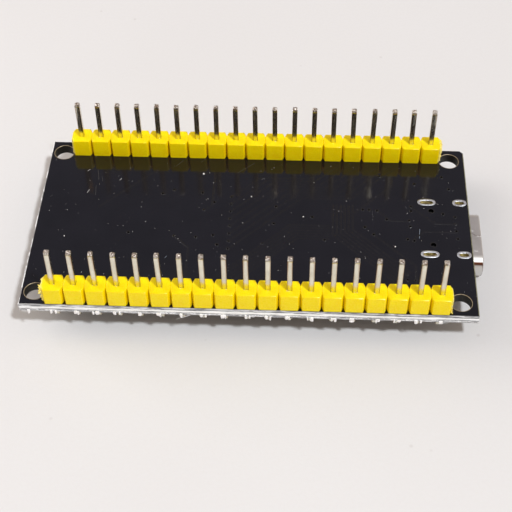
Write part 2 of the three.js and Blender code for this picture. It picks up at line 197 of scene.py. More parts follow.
def add_room():
    """The room's light, which changes with the direction it comes from."""
    world = bpy.data.worlds.new("studio")
    world.use_nodes = True
    room = Nodes(world.node_tree)
    towards = room.add("TexCoord").outputs["Generated"]
    colours = []
    for axis, low, high, low_colour, high_colour in (ROOM, MIRRORED):
        facing = room.add("VectorMath", {0: towards, 1: axis}, operation="DOT_PRODUCT")
        ramp = room.add("ValToRGB", {"Fac": facing.outputs["Value"]})
        elements = ramp.color_ramp.elements
        for element, place, colour in zip(elements, (low, high), (low_colour, high_colour)):
            element.position = place
            element.color = (*colour, 1)
        colours.append(ramp.outputs["Color"])
    both = room.add("Mix", {"Factor": 1.0, 6: colours[0], 7: colours[1]}, data_type="RGBA",
                    blend_type="MULTIPLY")
    background = world.node_tree.nodes["Background"]
    room.feed(background.inputs["Color"], both.outputs[2])
    room.feed(background.inputs["Strength"], ROOM_STRENGTH)
    bpy.context.scene.world = world
    bpy.context.scene.view_settings.view_transform = "Standard"


# ---- Material building ------------------------------------------------------------------


class Finish(Nodes):
    """A procedural material, built with one short call for each node.

    Patterns are in millimetres of the object's own space, so their scale is the real one.
    """

    def __init__(self, name, metallic=0.0, roughness=0.5, specular=0.5):
        self.material = bpy.data.materials.new(name)
        self.material.use_nodes = True
        super().__init__(self.material.node_tree)
        self.shader = self.tree.nodes["Principled BSDF"]
        self.set("Metallic", metallic)
        self.set("Roughness", roughness)
        self.set("Specular IOR Level", specular)
        self.coordinates = self.add("TexCoord")
        scaling = {0: self.coordinates.outputs["Object"], "Scale": 1 / MM}
        self.places = self.add("VectorMath", scaling, operation="SCALE").outputs["Vector"]
        self.last_normal = None

    def set(self, socket, value):
        self.feed(self.shader.inputs[socket], value)

    def math(self, operation, first, second=0.0):
        return self.add("Math", {0: first, 1: second}, operation=operation).outputs[0]

    def axis(self, name, vector=None):
        return self.add("SeparateXYZ", {0: vector or self.places}).outputs[name]

    def facing(self, name):
        return self.axis(name, self.coordinates.outputs["Normal"])

    def stretched(self, x, y, z):
        stretching = {0: self.places, 1: (x, y, z)}
        return self.add("VectorMath", stretching, operation="MULTIPLY").outputs["Vector"]

    def grain(self, scale, detail=3.0, where=None):
        inputs = {"Vector": where or self.places, "Scale": scale, "Detail": detail, "Roughness": 0.55}
        return self.add("TexNoise", inputs).outputs[0]

    def cells(self, scale):
        return self.add("TexVoronoi", {"Vector": self.places, "Scale": scale}).outputs["Distance"]

    def spread(self, value, low, high, to_low=0.0, to_high=1.0):
        ends = {"From Min": low, "From Max": high, "To Min": to_low, "To Max": to_high}
        return self.add("MapRange", {"Value": value, **ends}, clamp=True).outputs["Result"]

    def clouds(self, scale, detail=3.0, low=0.3, high=0.7, to_low=0.0, to_high=1.0):
        """Soft patches: noise spread between two levels."""
        return self.spread(self.grain(scale, detail), low, high, to_low, to_high)

    def blend(self, factor, first, second):
        first, second = ((*c, 1) if isinstance(c, tuple) else c for c in (first, second))
        return self.add("Mix", {"Factor": factor, 6: first, 7: second}, data_type="RGBA").outputs[2]

    def colour(self, value):
        self.set("Base Color", value)

    def roughness(self, value):
        self.set("Roughness", value)

    def bump(self, height, depth):
        inputs = {"Strength": 1.0, "Distance": depth * MM, "Height": height}
        if self.last_normal:
            inputs["Normal"] = self.last_normal
        self.last_normal = self.add("Bump", inputs).outputs["Normal"]
        self.set("Normal", self.last_normal)

    def rolled(self, dullest, brightest):
        """The gloss and the fine lines of rolled sheet metal."""
        lines = self.grain(1.0, 4, where=self.stretched(1.4, 26.0, 26.0))
        self.roughness(self.spread(lines, 0.3, 0.7, dullest, brightest))
        self.bump(lines, 0.003)
        self.bump(self.grain(0.7, 2), 0.008)


LOOKS = {}

# Slot, darker and lighter colour, patches to the millimetre, least and most roughness, bumps to the
# millimetre and their height
PLAIN_LOOKS = {
    "copper": ("solder_mask", (0.0052, 0.005, 0.0066), (0.0072, 0.0069, 0.0088), 0.8, (0.14, 0.26), 8, 0.002),
    # Painted shade: near-black without gloss, for the dark inside of holes
    "painted_hole_shade": ("solder_mask", (0.0006, 0.0006, 0.0007), (0.0016, 0.0015, 0.0014), 4, (0.85, 1.0), 9, 0.005),
    "laminate": ("solder_mask", (0.16, 0.15, 0.075), (0.34, 0.33, 0.20), 2, (0.4, 0.7), 9, 0.012),
    "flake": ("solder_mask", (0.95, 0.95, 0.96), (0.99, 0.99, 1.0), 5, (0.4, 0.7), 12, 0.02),
    "dust": ("solder_mask", (0.86, 0.85, 0.83), (0.98, 0.97, 0.95), 3, (0.5, 0.8), 12, 0.01),
    "hairline": ("solder_mask", (0.02, 0.02, 0.02), (0.07, 0.07, 0.068), 2.5, (0.3, 0.5), 18, 0.002),
    "bluish": ("solder_mask", (0.20, 0.27, 0.36), (0.42, 0.50, 0.60), 9, (0.3, 0.5), 18, 0.004),
    "ink": ("solder_mask", (0.52, 0.52, 0.52), (0.80, 0.80, 0.79), 9, (0.45, 0.65), 18, 0.004),
    "torn": ("yellow_plastic", (0.93, 0.70, 0.008), (0.97, 0.90, 0.38), 5, (0.5, 0.7), 9, 0.05),
    "solder": ("steel", (0.66, 0.69, 0.73), (0.84, 0.88, 0.94), 2.2, (0.2, 0.5), 6, 0.01),
    "leg_solder": ("steel", (0.13, 0.10, 0.02), (0.60, 0.50, 0.23), 3.4, (0.14, 0.35), 5, 0.035),
    # Nicks in bare steel, painted matte white as painted glints
    "nick_painted_glint": ("steel", (0.86, 0.86, 0.85), (0.97, 0.97, 0.96), 5, (0.3, 0.5), 9, 0.004),
    "gold": ("pin_metal", (0.72, 0.50, 0.22), (0.90, 0.68, 0.34), 3, (0.2, 0.42), 14, 0.004),
    "black": ("black_plastic", (0.012, 0.012, 0.013), (0.024, 0.024, 0.026), 1.2, (0.42, 0.62), 28, 0.006),
    "resistor": ("black_plastic", (0.010, 0.010, 0.011), (0.03, 0.03, 0.032), 2.5, (0.35, 0.6), 16, 0.006),
    "capacitor": ("black_plastic", (0.30, 0.20, 0.12), (0.40, 0.29, 0.18), 2.5, (0.35, 0.6), 16, 0.006),
    "tantalum": ("black_plastic", (0.62, 0.36, 0.05), (0.72, 0.44, 0.08), 2.5, (0.35, 0.6), 16, 0.006),
    "lamp_case": ("lamp_plastic", (0.68, 0.68, 0.65), (0.78, 0.78, 0.76), 2.5, (0.35, 0.6), 16, 0.006),
    "lens": ("lamp_plastic", (0.60, 0.55, 0.38), (0.72, 0.68, 0.50), 3, (0.18, 0.26), 9, 0.005),
}
METALS = ("solder", "leg_solder", "gold")
SPECULAR = {"painted_hole_shade": 0.0, "dust": 0.3, "torn": 0.3}


def add_look(key, slot, finish):
    LOOKS[key] = (finish.material, slot)


def plain_looks():
    """Finishes whose colour, gloss and height only wander."""
    for key, (slot, dark, light, patches, rough, bumps, depth) in PLAIN_LOOKS.items():
        finish = Finish(key, metallic=float(key in METALS), specular=SPECULAR.get(key, 0.5))
        finish.colour(finish.blend(finish.clouds(patches, 4), dark, light))
        finish.roughness(finish.clouds(patches * 2.3, 3, 0.3, 0.7, *rough))
        finish.bump(finish.grain(bumps, 3), depth)
        add_look(key, slot, finish)


def table_finish():
    finish = Finish("pale_table", roughness=0.6)
    broad = finish.clouds(0.012, 2)
    colour = finish.blend(broad, (0.69, 0.685, 0.684), (0.72, 0.722, 0.724))
    fine = finish.clouds(2.2, 4, 0.35, 0.7)
    colour = finish.blend(finish.math("MULTIPLY", fine, 0.08), colour, (0.62, 0.58, 0.55))
    specks = finish.spread(finish.cells(0.16), 0.0, 0.05, 0.35, 0.0)
    finish.colour(finish.blend(specks, colour, (0.35, 0.30, 0.28)))
    finish.roughness(finish.spread(fine, 0, 1, 0.5, 0.68))
    finish.bump(finish.grain(5.0, 4), 0.01)
    return finish.material


def mask_look():
    """Glossy black mask on the flat faces, and cut glass fibre on the edges."""
    finish = Finish("black_solder_mask")
    flat = finish.spread(finish.math("ABSOLUTE", finish.facing("Z")), 0.45, 0.55)
    cloud = finish.clouds(0.25, 4)
    mask = finish.blend(cloud, (0.0040, 0.0041, 0.0066), (0.0060, 0.0060, 0.0092))
    dust_size = finish.clouds(0.35, 1, 0.42, 0.68, 0.0, 0.055)
    dust = finish.math("LESS_THAN", finish.cells(1.5), dust_size)
    mask = finish.blend(dust, mask, (0.30, 0.29, 0.29))
    layers = finish.grain(1.0, 3, where=finish.stretched(0.5, 0.5, 9.0))
    fibre = finish.blend(finish.spread(layers, 0.35, 0.65), (0.035, 0.031, 0.016), (0.13, 0.118, 0.07))
    finish.colour(finish.blend(flat, fibre, mask))
    smears = finish.grain(0.5, 3, where=finish.stretched(1.0, 0.35, 1.0))
    smears = finish.spread(smears, 0.3, 0.75, 0.08, 0.18)
    gloss = finish.math("ADD", smears, finish.math("MULTIPLY", dust, 0.4))
    finish.roughness(finish.add("Mix", {0: flat, 2: 0.75, 3: gloss}, data_type="FLOAT").outputs[0])
    finish.bump(finish.grain(0.5, 2), 0.003)
    finish.bump(finish.grain(7.0, 2), 0.0007)
    add_look("mask", "solder_mask", finish)


def yellow_look():
    finish = Finish("yellow_plastic", specular=0.28)
    finish.set("Subsurface Weight", 0.15)
    finish.set("Subsurface Radius", (1.0, 0.62, 0.06))
    finish.set("Subsurface Scale", 0.3 * MM)
    cloud = finish.clouds(0.9, 3)
    colour = finish.blend(cloud, (0.975, 0.735, 0.001), (1.0, 0.79, 0.0015))
    specks = finish.spread(finish.cells(1.7), 0.0, 0.07, 0.6, 0.0)
    finish.colour(finish.blend(specks, colour, (0.35, 0.20, 0.01)))
    finish.roughness(finish.clouds(6, 3, 0.3, 0.7, 0.22, 0.34))
    finish.bump(finish.grain(0.9, 2), 0.05)
    finish.bump(finish.grain(22.0, 3), 0.003)
    add_look("yellow", "yellow_plastic", finish)


def pin_look():
    """Drawn square wire: plated, browned along its corners, with a rough cut tip."""
    finish = Finish("plated_pin", metallic=1.0)
    top = PINS["near"][0].high.z
    tip = finish.spread(finish.axis("Z"), top - 0.46, top - 0.3)
    lines = finish.grain(1.0, 3, where=finish.stretched(22.0, 22.0, 0.5))
    patches = finish.clouds(0.8, 3, 0.35, 0.7)
    colour = finish.blend(patches, (0.83, 0.80, 0.68), (0.73, 0.69, 0.57))
    across = [finish.math("ABSOLUTE", finish.facing(name)) for name in "XY"]
    corner = finish.spread(finish.math("MINIMUM", *across), 0.1, 0.4)
    colour = finish.blend(corner, colour, (0.25, 0.125, 0.045))
    stained = finish.clouds(4.5, 3, 0.42, 0.6)
    cut = finish.blend(stained, (0.72, 0.68, 0.63), (0.28, 0.21, 0.16))
    finish.colour(finish.blend(tip, colour, cut))
    drawn = finish.spread(lines, 0.3, 0.7, 0.18, 0.31)
    finish.roughness(finish.math("ADD", drawn, finish.math("MULTIPLY", tip, 0.06)))
    finish.bump(lines, 0.004)
    finish.bump(finish.math("MULTIPLY", finish.grain(7.0, 4), tip), 0.14)
    add_look("pin", "pin_metal", finish)


def plating_look():
    """The thin rim of a plated hole, dulled to brown, and its wall, painted near-black as tarnish and painted
    shade inside the hole.
    """
    finish = Finish("tarnished_plating_painted_shade_wall", metallic=0.5)
    patches = finish.clouds(2.0, 4)
    rim = finish.blend(patches, (0.26, 0.20, 0.12), (0.46, 0.38, 0.26))
    # The wall's near-black is painted shade inside the hole, over its tarnish.
    wall = finish.blend(patches, (0.010, 0.010, 0.009), (0.028, 0.025, 0.02))
    flat = finish.spread(finish.math("ABSOLUTE", finish.facing("Z")), 0.3, 0.6)
    finish.colour(finish.blend(flat, wall, rim))
    finish.roughness(finish.clouds(6.0, 3, 0.3, 0.7, 0.4, 0.6))
    finish.bump(finish.grain(8.0, 3), 0.01)
    add_look("plating", "steel", finish)


def shell_look():
    """Drawn stainless steel with a painted reflection: a dark brown band round its near end."""
    finish = Finish("connector_shell", metallic=1.0)
    cloud = finish.clouds(0.5, 4)
    colour = finish.blend(cloud, (0.61, 0.60, 0.58), (0.70, 0.69, 0.67))
    # Painted reflection: past the highlight the near end's curve mirrors the room's dark side, painted in as
    # a brown band.
    facing = finish.facing("Y")
    band = finish.math("MULTIPLY", finish.spread(facing, -0.86, -0.78), finish.spread(facing, -0.60, -0.66))
    finish.colour(finish.blend(band, colour, (0.11, 0.04, 0.022)))
    finish.rolled(0.38, 0.52)
    add_look("shell", "steel", finish)


def steel_look(key, dark, light, rough):
    """Rolled sheet metal."""
    finish = Finish(key, metallic=1.0)
    finish.colour(finish.blend(finish.clouds(0.5, 4), dark, light))
    finish.rolled(*rough)
    add_look(key, "steel", finish)


def fibre_look():
    """Frayed glass fibre and resin where the board was snapped out of its panel, with a painted highlight on
    faces that point up.
    """
    finish = Finish("frayed_glass_fibre")
    strands = finish.grain(1.0, 4, where=finish.stretched(0.3, 0.3, 7.5))
    shade = finish.spread(strands, 0.40, 0.57)
    dirt = finish.spread(finish.grain(2.2, 4, where=finish.stretched(0.4, 0.4, 4.0)), 0.50, 0.60)
    colour = finish.blend(shade, (0.22, 0.23, 0.25), (0.78, 0.79, 0.80))
    colour = finish.blend(finish.math("MULTIPLY", dirt, 0.8), colour, (0.12, 0.12, 0.13))
    # Painted highlight: faces that point up are painted near-white, where the snapped ledge catches the
    # light.
    painted_ledge_highlight = finish.spread(finish.facing("Z"), 0.45, 0.9)
    finish.colour(finish.blend(painted_ledge_highlight, colour, (0.84, 0.85, 0.86)))
    finish.roughness(finish.spread(strands, 0.3, 0.7, 0.3, 0.6))
    finish.bump(strands, 0.05)
    add_look("fibre", "solder_mask", finish)


def make_looks():
    plain_looks()
    mask_look()
    yellow_look()
    pin_look()
    fibre_look()
    plating_look()
    shell_look()
    steel_look("bright_steel", (0.68, 0.68, 0.68), (0.79, 0.78, 0.76), (0.32, 0.48))
    steel_look("seam", (0.10, 0.055, 0.04), (0.18, 0.12, 0.09), (0.4, 0.6))


# ---- Mesh building ----------------------------------------------------------------------

QUARTERS = ((1, 1), (-1, 1), (-1, -1), (1, -1))
RIBBON_SLOPE = 0.03
# Concave solder: outwards from a wall and away from the board, as shares of its reach and height
FILLET = ((-0.08, 1), (0, 1), (0.12, 0.6), (0.35, 0.28), (0.68, 0.09), (1, 0.01), (1, -0.03), (-0.08, -0.03))


def finish_piece(name, builder, look, smooth_below=None, nodes=()):
    """Turns a mesh under construction into a piece of the object that rides on the board."""
    material, slot = LOOKS[look]
    bmesh.ops.recalc_face_normals(builder, faces=builder.faces)
    piece = to_object(name, builder, material)
    if smooth_below:
        piece.data.shade_smooth()
        piece.data.set_sharp_from_angle(angle=math.radians(smooth_below))
    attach(piece, ROOT)
    if nodes:
        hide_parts(*nodes)
    return piece


def bridge(builder, rows):
    """Joins each closed row of vertices to the next with a band of faces."""
    for row, following in zip(rows, rows[1:]):
        for i in range(len(row)):
            j = (i + 1) % len(row)
            builder.faces.new((row[i], row[j], following[j], following[i]))


def loft(builder, loops, ring=False):
    """Skins a chain of equal loops of points. A ring closes on its first loop, and a bar gets end caps."""
    rows = [[builder.verts.new(point) for point in loop] for loop in loops]
    bridge(builder, rows + rows[:1] if ring else rows)
    if not ring:
        builder.faces.new(rows[0])
        builder.faces.new(list(reversed(rows[-1])))


def at(outline, z):
    return [(x, y, z) for x, y in outline]


def circle(x, y, radius, steps=24):
    angles = [2 * math.pi * i / steps for i in range(steps)]
    return [(x + radius * math.cos(a), y + radius * math.sin(a)) for a in angles]


def add_turned(builder, middle, z, profile, steps=24, ring=False):
    """A turned shape, from a profile of (radius, height above z) points."""
    loft(builder, [at(circle(middle.x, middle.y, r, steps), z + h) for r, h in profile], ring)


def rounded_rectangle(x, y, length, width, radius, turn=0.0, steps=3):
    c, s = math.cos(turn), math.sin(turn)
    points = []
    for k, (side, end) in enumerate(QUARTERS):
        for i in range(steps + 1):
            angle = math.pi / 2 * (k + i / steps)
            px = side * (length / 2 - radius) + radius * math.cos(angle)
            py = end * (width / 2 - radius) + radius * math.sin(angle)
            points.append((x + px * c - py * s, y + px * s + py * c))
    return points


def slot_outline(x, y, length, width, steps=36):
    """An outline between an ellipse and a round-ended slot."""
    points = []
    for i in range(steps):
        angle = 2 * math.pi * i / steps
        c, s = (math.copysign(abs(a) ** 0.8, a) for a in (math.cos(angle), math.sin(angle)))
        points.append((x + length / 2 * c, y + width / 2 * s))
    return points


def add_pillow(builder, x, y, length, width, low, high, edge, turn=0.0, corner=None):
    """A box with rounded edges, between two heights."""
    corner = corner or edge
    loops = []
    for end, sign, shares in ((low, 1, (0.0, 0.4, 1.0)), (high, -1, (1.0, 0.4, 0.0))):
        for share in shares:
            angle = share * math.pi / 2
            inset = edge * (1 - math.sin(angle))
            radius = max(corner - inset, 0.01)
            outline = rounded_rectangle(x, y, length - 2 * inset, width - 2 * inset, radius, turn)
            loops.append(at(outline, end + sign * edge * (1 - math.cos(angle))))
    loft(builder, loops)


def mitred(route):
    """Each point of a flat route, with its left-hand normal lengthened to mitre the corner there."""
    points = [Vector(p) for p in route]
    legs = [(b - a).normalized() for a, b in zip(points, points[1:])]
    result = []
    for p, before, after in zip(points, legs[:1] + legs, legs + legs[-1:]):
        mean = (before + after).normalized()
        result.append((p, Vector((-mean.y, mean.x)) / max(0.5, mean.dot(before))))
    return result


def add_strip(builder, middle, turn, path, width, thickness):
    """A bent metal strip. Its path is (distance along, height) points in the plane that turn points to."""
    ahead = heading(turn)
    side = Vector((-ahead.y, ahead.x, 0)) * width / 2
    loops = []
    for p, normal in mitred(path):
        loop = []
        for across, through in ((-1, -1), (1, -1), (1, 1), (-1, 1)):
            q = p + normal * through * thickness / 2
            loop.append(middle + ahead * q.x + UP * q.y + side * across)
        loops.append(loop)
    loft(builder, loops)


def add_fillet(builder, foot, outward, reach, height, width):
    """Concave solder under the board's component side, from a wall's foot outwards."""
    side = Vector((-outward.y, outward.x, 0)) * width / 2
    loops = []
    for share, fullness in ((-1, 0.7), (-0.75, 0.96), (0, 1), (0.75, 0.96), (1, 0.7)):
        loops.append([foot + outward * reach * fullness * a + side * share
                      - UP * height * b * (fullness if b > 0 else 1) for a, b in FILLET])
    loft(builder, loops)


def solder_ends(builder, middle, ahead, half_length, *sizes):
    """A fillet at both ends of a soldered part."""
    for end in (-1, 1):
        foot = middle + ahead * end * half_length
        foot.z = COMPONENT_FACE
        add_fillet(builder, foot, ahead * end, *sizes)


def add_ribbon(builder, route, width, face, rise, up):
    """A flat-topped ribbon along a route of points on a face, with sloping sides."""
    half, foot = width / 2, width / 2 + RIBBON_SLOPE
    profile = ((-foot, -0.01), (-half, rise), (half, rise), (foot, -0.01))
    loft(builder, [[(*(p + normal * offset), face + up * height) for offset, height in profile]
                   for p, normal in mitred(route)])


def add_frame(builder, middle, length, width):
    """A rectangle printed on the component side."""
    line, rise = 0.13, 0.012
    corners = [(middle.x + side * length / 2, middle.y + end * width / 2)
               for side, end in QUARTERS[2:] + QUARTERS[:2]]
    for start, end in zip(corners, corners[1:] + corners[:1]):
        add_ribbon(builder, (start, end), line, COMPONENT_FACE, rise, -1)


def add_shred(builder, root, tip, width, rng):
    """A thin curl of torn plastic or fibre, from its root to its tip."""
    steps = 4
    along = (tip - root).normalized()
    side = along.cross(Vector((0.3, 0.2, 1))).normalized()
    other = along.cross(side)
    loops = []
    for i in range(steps + 1):
        middle = root.lerp(tip, i / steps)
        if 0 < i < steps:
            middle += Vector([rng.uniform(-1, 1) for _ in range(3)]) * width * 0.3
        w = width * (1 - 0.7 * i / steps) / 2
        loops.append([middle + side * w * a + other * w * b * 0.5
                      for a, b in ((-1, -1), (1, -1), (1, 1), (-1, 1))])
    loft(builder, loops)


def add_flake(builder, middle, along, outward, width, height, depth, rng, rough=0.05):
    """A ragged, blocky crumb of resin: three uneven five-sided levels."""
    loops = []
    turn = rng.uniform(0, math.pi)
    for share, narrowing in ((0.0, 1.0), (0.5, rng.uniform(0.85, 1.15)), (1.0, rng.uniform(0.65, 1.05))):
        loop = []
        for i in range(5):
            angle = turn + 2 * math.pi * i / 5
            stretch = narrowing * rng.uniform(0.75, 1.25) / 2
            loop.append(middle + along * math.cos(angle) * width * stretch
                        + outward * math.sin(angle) * depth * stretch
                        - UP * (height * share + rng.uniform(-rough, rough)))
        loops.append(loop)
    loft(builder, loops)


# ---- Header housings and pins -----------------------------------------------------------

NOTCH_ALONG = 0.24
NOTCH_ACROSS = 0.42
PIN_SLOT_HALF = 0.327
PIN_STANDING = 5.5
PIN_CORNER = 0.065
VERTICAL_EDGE = 0.035
# Heights of the housing's rounded profile, from its foot and then from its top, and how far each
# is drawn in
HOUSING_FOOT = ((0.0, 0.03), (0.16, 0.03))
HOUSING_CROWN = ((0.13, 0.03), (0.075, 0.045), (0.012, 0.13), (0.0, 0.16))
# The same for a pin
PIN_TAIL = ((0.0, 0.17), (0.04, 0.12), (0.26, 0.0), (0.5, 0.0))
PIN_TIP = ((3.0, 0.0), (0.42, 0.0), (0.30, 0.01), (0.16, 0.03), (0.06, 0.075), (0.0, 0.16))
# Radius of a pin's solder cone at each share of its height
SOLDER_CONE = ((0.92, -0.05), (0.92, 0.0), (0.84, 0.08), (0.66, 0.25), (0.53, 0.5), (0.45, 0.8),
               (0.41, 0.95), (0.34, 1.0))


def segment_outline(x, y, inset):
    """The outline of one pin's block from its front left: four points at each corner of the pin's hole."""
    half, deep = PITCH / 2, HOUSING_HALF
    along, across = half - NOTCH_ALONG, deep - NOTCH_ACROSS
    slope = Vector((NOTCH_ALONG, NOTCH_ACROSS)).normalized() * VERTICAL_EDGE
    slit = Vector((0.045, 0.30))
    quarter = [(-half, slit.y - across), (slit.x - half, -across),
               (-along - slope.x, -deep + slope.y), (-along + VERTICAL_EDGE, -deep)]
    corners = []
    for turn, (side, end) in enumerate(QUARTERS):
        points = [(side * a, end * b) for a, b in quarter]
        corners += points if turn % 2 == 0 else list(reversed(points))
    squeeze_x, squeeze_y = 1 - inset / half, 1 - inset / deep
    return [(x + a * squeeze_x, y + b * squeeze_y) for a, b in corners]


def add_segment(builder, x, y, first, last):
    """One pin's block, open inside and towards its neighbours, with the pin's square hole."""
    low, high = HOUSING.low.z, HOUSING_TOP
    levels = [(low + h, inset) for h, inset in HOUSING_FOOT]
    levels += [(high - h, inset) for h, inset in HOUSING_CROWN]
    joined_levels = len(levels) - 3
    rows = []
    for k, (z, inset) in enumerate(levels):
        outline = segment_outline(x, y, inset)
        if k < joined_levels:
            outline = [(x + math.copysign(PITCH / 2, a - x) if abs(abs(a - x) - PITCH / 2) < 0.04 else a, b)
                       for a, b in outline]
        rows.append([builder.verts.new((a, b, z)) for a, b in outline])
    count = len(rows[0])
    inner_sides = {7: last, 15: first}
    for k, (row, following) in enumerate(zip(rows, rows[1:])):
        for i in range(count):
            if not inner_sides.get(i, True) and k < joined_levels - 1:
                continue
            j = (i + 1) % count
            builder.faces.new((row[i], row[j], following[j], following[i]))
    q = PIN_SLOT_HALF
    hole = [[builder.verts.new((x - side * q, y - end * q, z)) for side, end in QUARTERS]
            for z in (low, high)]
    for ends, row in ((hole[0], rows[0]), (hole[1], rows[-1])):
        for k in range(4):
            corner = row[4 * k:4 * k + 4]
            for a, b in zip(corner, corner[1:]):
                builder.faces.new((ends[k], a, b))
            builder.faces.new((ends[k], corner[-1], row[(4 * k + 4) % count], ends[(k + 1) % 4]))
    bridge(builder, hole)


def header_housing(row):
    builder = bmesh.new()
    for index in range(PINS_PER_ROW):
        x = GRID.x + (index - (PINS_PER_ROW - 1) / 2) * PITCH
        add_segment(builder, x, ROWS[row], index == 0, index == PINS_PER_ROW - 1)
    bmesh.ops.remove_doubles(builder, verts=builder.verts, dist=0.001)
    finish_piece(f"moulded_housing_{row}", builder, "yellow", 28, nodes=[f"header_housing_{row}"])


def row_end(side):
    return GRID.x + side * PINS_PER_ROW * PITCH / 2


def torn_end(name, row, side, reach, seed):
    """The rough scar where the strip was snapped off its neighbour."""
    rng = random.Random(seed)
    builder = bmesh.new()
    x, y = row_end(side), ROWS[row]
    across, up = 10, 16
    half = HOUSING_HALF - NOTCH_ACROSS + 0.08
    low, high = HOUSING.low.z + 0.03, HOUSING_TOP - 0.05
    grid = []
    for i in range(across + 1):
        column = []
        for j in range(up + 1):
            py = y - half + 2 * half * i / across
            pz = low + (high - low) * j / up
            rough = abs(noise.noise(Vector((py, pz, seed)) * 2.6)) * 1.6 + rng.random() * 0.45
            inside = min(i, across - i, j, up - j) > 0
            depth = reach * min(1.0, rough) if inside else -0.1
            column.append(builder.verts.new((x + side * depth, py + rng.uniform(-1, 1) * 0.02, pz)))
        grid.append(column)
    for i in range(across):
        for j in range(up):
            builder.faces.new((grid[i][j], grid[i + 1][j], grid[i + 1][j + 1], grid[i][j + 1]))
    rim = [grid[i][0] for i in range(across)] + [grid[across][j] for j in range(up)]
    rim += [grid[i][up] for i in range(across, 0, -1)] + [grid[0][j] for j in range(up, 0, -1)]
    builder.faces.new(rim)
    finish_piece(name, builder, "torn")


def torn_shreds(name, row, side, count, y_range, drop_range, reach, seed):
    """Ragged bits still hanging from a snapped end, within a range of Y and of depth below the top."""
    rng = random.Random(seed)
    builder = bmesh.new()
    for _ in range(count):
        root = Vector((row_end(side) - side * 0.08, ROWS[row] + rng.uniform(*y_range),
                       HOUSING_TOP - rng.uniform(*drop_range)))
        swing = Vector((side * rng.uniform(0.4, 1.0) * reach, rng.uniform(-0.25, 0.25),
                        rng.uniform(-0.35, 0.2)))
        add_shred(builder, root, root + swing, rng.uniform(0.14, 0.34), rng)
    finish_piece(name, builder, "torn")


def housing_ends():
    ends = (("near", -1, 0.24, 3), ("near", 1, 0.08, 5), ("far", -1, 0.08, 7), ("far", 1, 0.22, 11))
    for row, side, reach, seed in ends:
        torn_end(f"snapped_end_{row}_{'left' if side < 0 else 'right'}", row, side, reach, seed)
    torn_shreds("torn_shreds_near_left", "near", -1, 22, (-0.95, -0.1), (0.1, 1.3), 0.55, 40)
    torn_shreds("torn_shreds_near_right", "near", 1, 7, (-1.15, -0.7), (1.7, 2.4), 0.25, 60)
    torn_shreds("torn_shreds_far_right", "far", 1, 12, (-0.5, 0.7), (0.02, 0.7), 0.4, 80)


def header_pin(pin, rng):
    """A square pin with rounded edges, a point at its tail and a sheared, ragged tip drawn in at its top."""
    clearance, ragged_tip = 0.006, 0.4
    half = pin.size.x / 2 - clearance
    turn = math.radians(rng.uniform(-2.0, 2.0))
    lean = Vector((rng.uniform(-0.05, 0.05), rng.uniform(-0.05, 0.05), 0))
    top, bottom = pin.high.z, pin.low.z
    levels = [(bottom + h, d, 0.0) for h, d in PIN_TAIL]
    levels += [(HOUSING_TOP, 0.0, 0.0)]
    levels += [(top - h, d, 1 - h / PIN_STANDING) for h, d in PIN_TIP]
    loops = []
    for z, draw, share in levels:
        place = pin.middle + lean * share
        width = 2 * (half - draw)
        loop = at(rounded_rectangle(place.x, place.y, width, width, PIN_CORNER, turn, 2), z)
        if z > top - ragged_tip:
            loop = [(x + rng.uniform(-0.03, 0.03), y + rng.uniform(-0.03, 0.03),
                     min(top, z + rng.uniform(-0.06, 0.04))) for x, y, z in loop]
        loops.append(loop)
    builder = bmesh.new()
    loft(builder, loops)
    name = pin.node.replace("header_pin", "square_pin")
    finish_piece(name, builder, "pin", 42, nodes=[pin.node])


def pin_foot_burrs():
    """Small curls of plastic pushed up where the pins were pressed in."""
    builder = bmesh.new()
    rng = random.Random(23)
    for pin in PINS["near"] + PINS["far"]:
        for _ in range(rng.choice((0, 1, 1, 2))):
            place = pin.middle + Vector((rng.uniform(-0.3, 0.3), -rng.uniform(0.36, 0.42), 0))
            place.z = HOUSING_TOP + 0.06
            width = rng.uniform(0.08, 0.2)
            add_flake(builder, place, EAST, NORTH, width, 0.1, 0.1, rng, 0.02)
    finish_piece("pin_foot_burrs", builder, "torn")


def header_solder(row, seed):
    """Cone-shaped joints on the component side, wetting each pin's tail."""
    builder = bmesh.new()
    rng = random.Random(seed)
    for pin in PINS[row]:
        height = rng.uniform(0.95, 1.2)
        lean = Vector((rng.uniform(-0.06, 0.06), rng.uniform(-0.06, 0.06), 0))
        loops = []
        for radius, share in SOLDER_CONE:
            place = pin.middle + lean * share
            loops.append(at(circle(place.x, place.y, radius, 18), COMPONENT_FACE - height * share))
        loft(builder, loops)
    finish_piece(f"header_solder_{row}", builder, "solder", 60)


# ---- The board's holes, slots, tracks and edges -----------------------------------------

PEG_RIM = ((0.45, -0.004), (0.42, 0.014), (0.37, 0.014), (0.335, -0.004))
PEG_WALL = ((0.33, 0.001), (0.32, 0.001), (0.31, -0.65), (0.33, -0.65))
# The solder's surface in a slot: its share of the slot's outline and its depth
SLOT_SOLDER = ((0.975, 0.03), (0.93, 0.3), (0.8, 0.52), (0.5, 0.62), (0.25, 0.56))


def add_eyelet(builder, outer, inner, rise):
    """A plated hole: a domed ring on each face of the board, joined by the plated wall."""
    middle = sum((Vector(p) for p in inner), Vector((0, 0))) / len(inner)
    throat = [middle + (Vector(p) - middle) * 0.985 for p in inner]
    steps = 4
    faces = []
    for face, sign in ((PIN_FACE, 1), (COMPONENT_FACE, -1)):
        rings = []
        for i in range(steps + 1):
            share = i / steps
            height = face + sign * (rise * math.sin(math.pi * share) ** 0.7 - 0.004)
            rings.append([(*Vector(a).lerp(Vector(b), share), height) for a, b in zip(outer, inner)])
        faces.append(rings)
    wall = [at(throat, PIN_FACE - rise), at(throat, COMPONENT_FACE + rise)]
    loft(builder, faces[0] + wall + list(reversed(faces[1])), ring=True)


def mounting_holes():
    builder = bmesh.new()
    hole = MOUNTING_HOLE
    for side in (-1, 1):
        for end in (-1, 1):
            x, y, _ = on_board(end * hole["x"], side * hole["y"])
            outer, inner = (circle(x, y, hole["radius"] + wider, 48) for wider in (0.055, -0.005))
            add_eyelet(builder, outer, inner, 0.02)
    finish_piece("mounting_hole_plating", builder, "plating", 50)


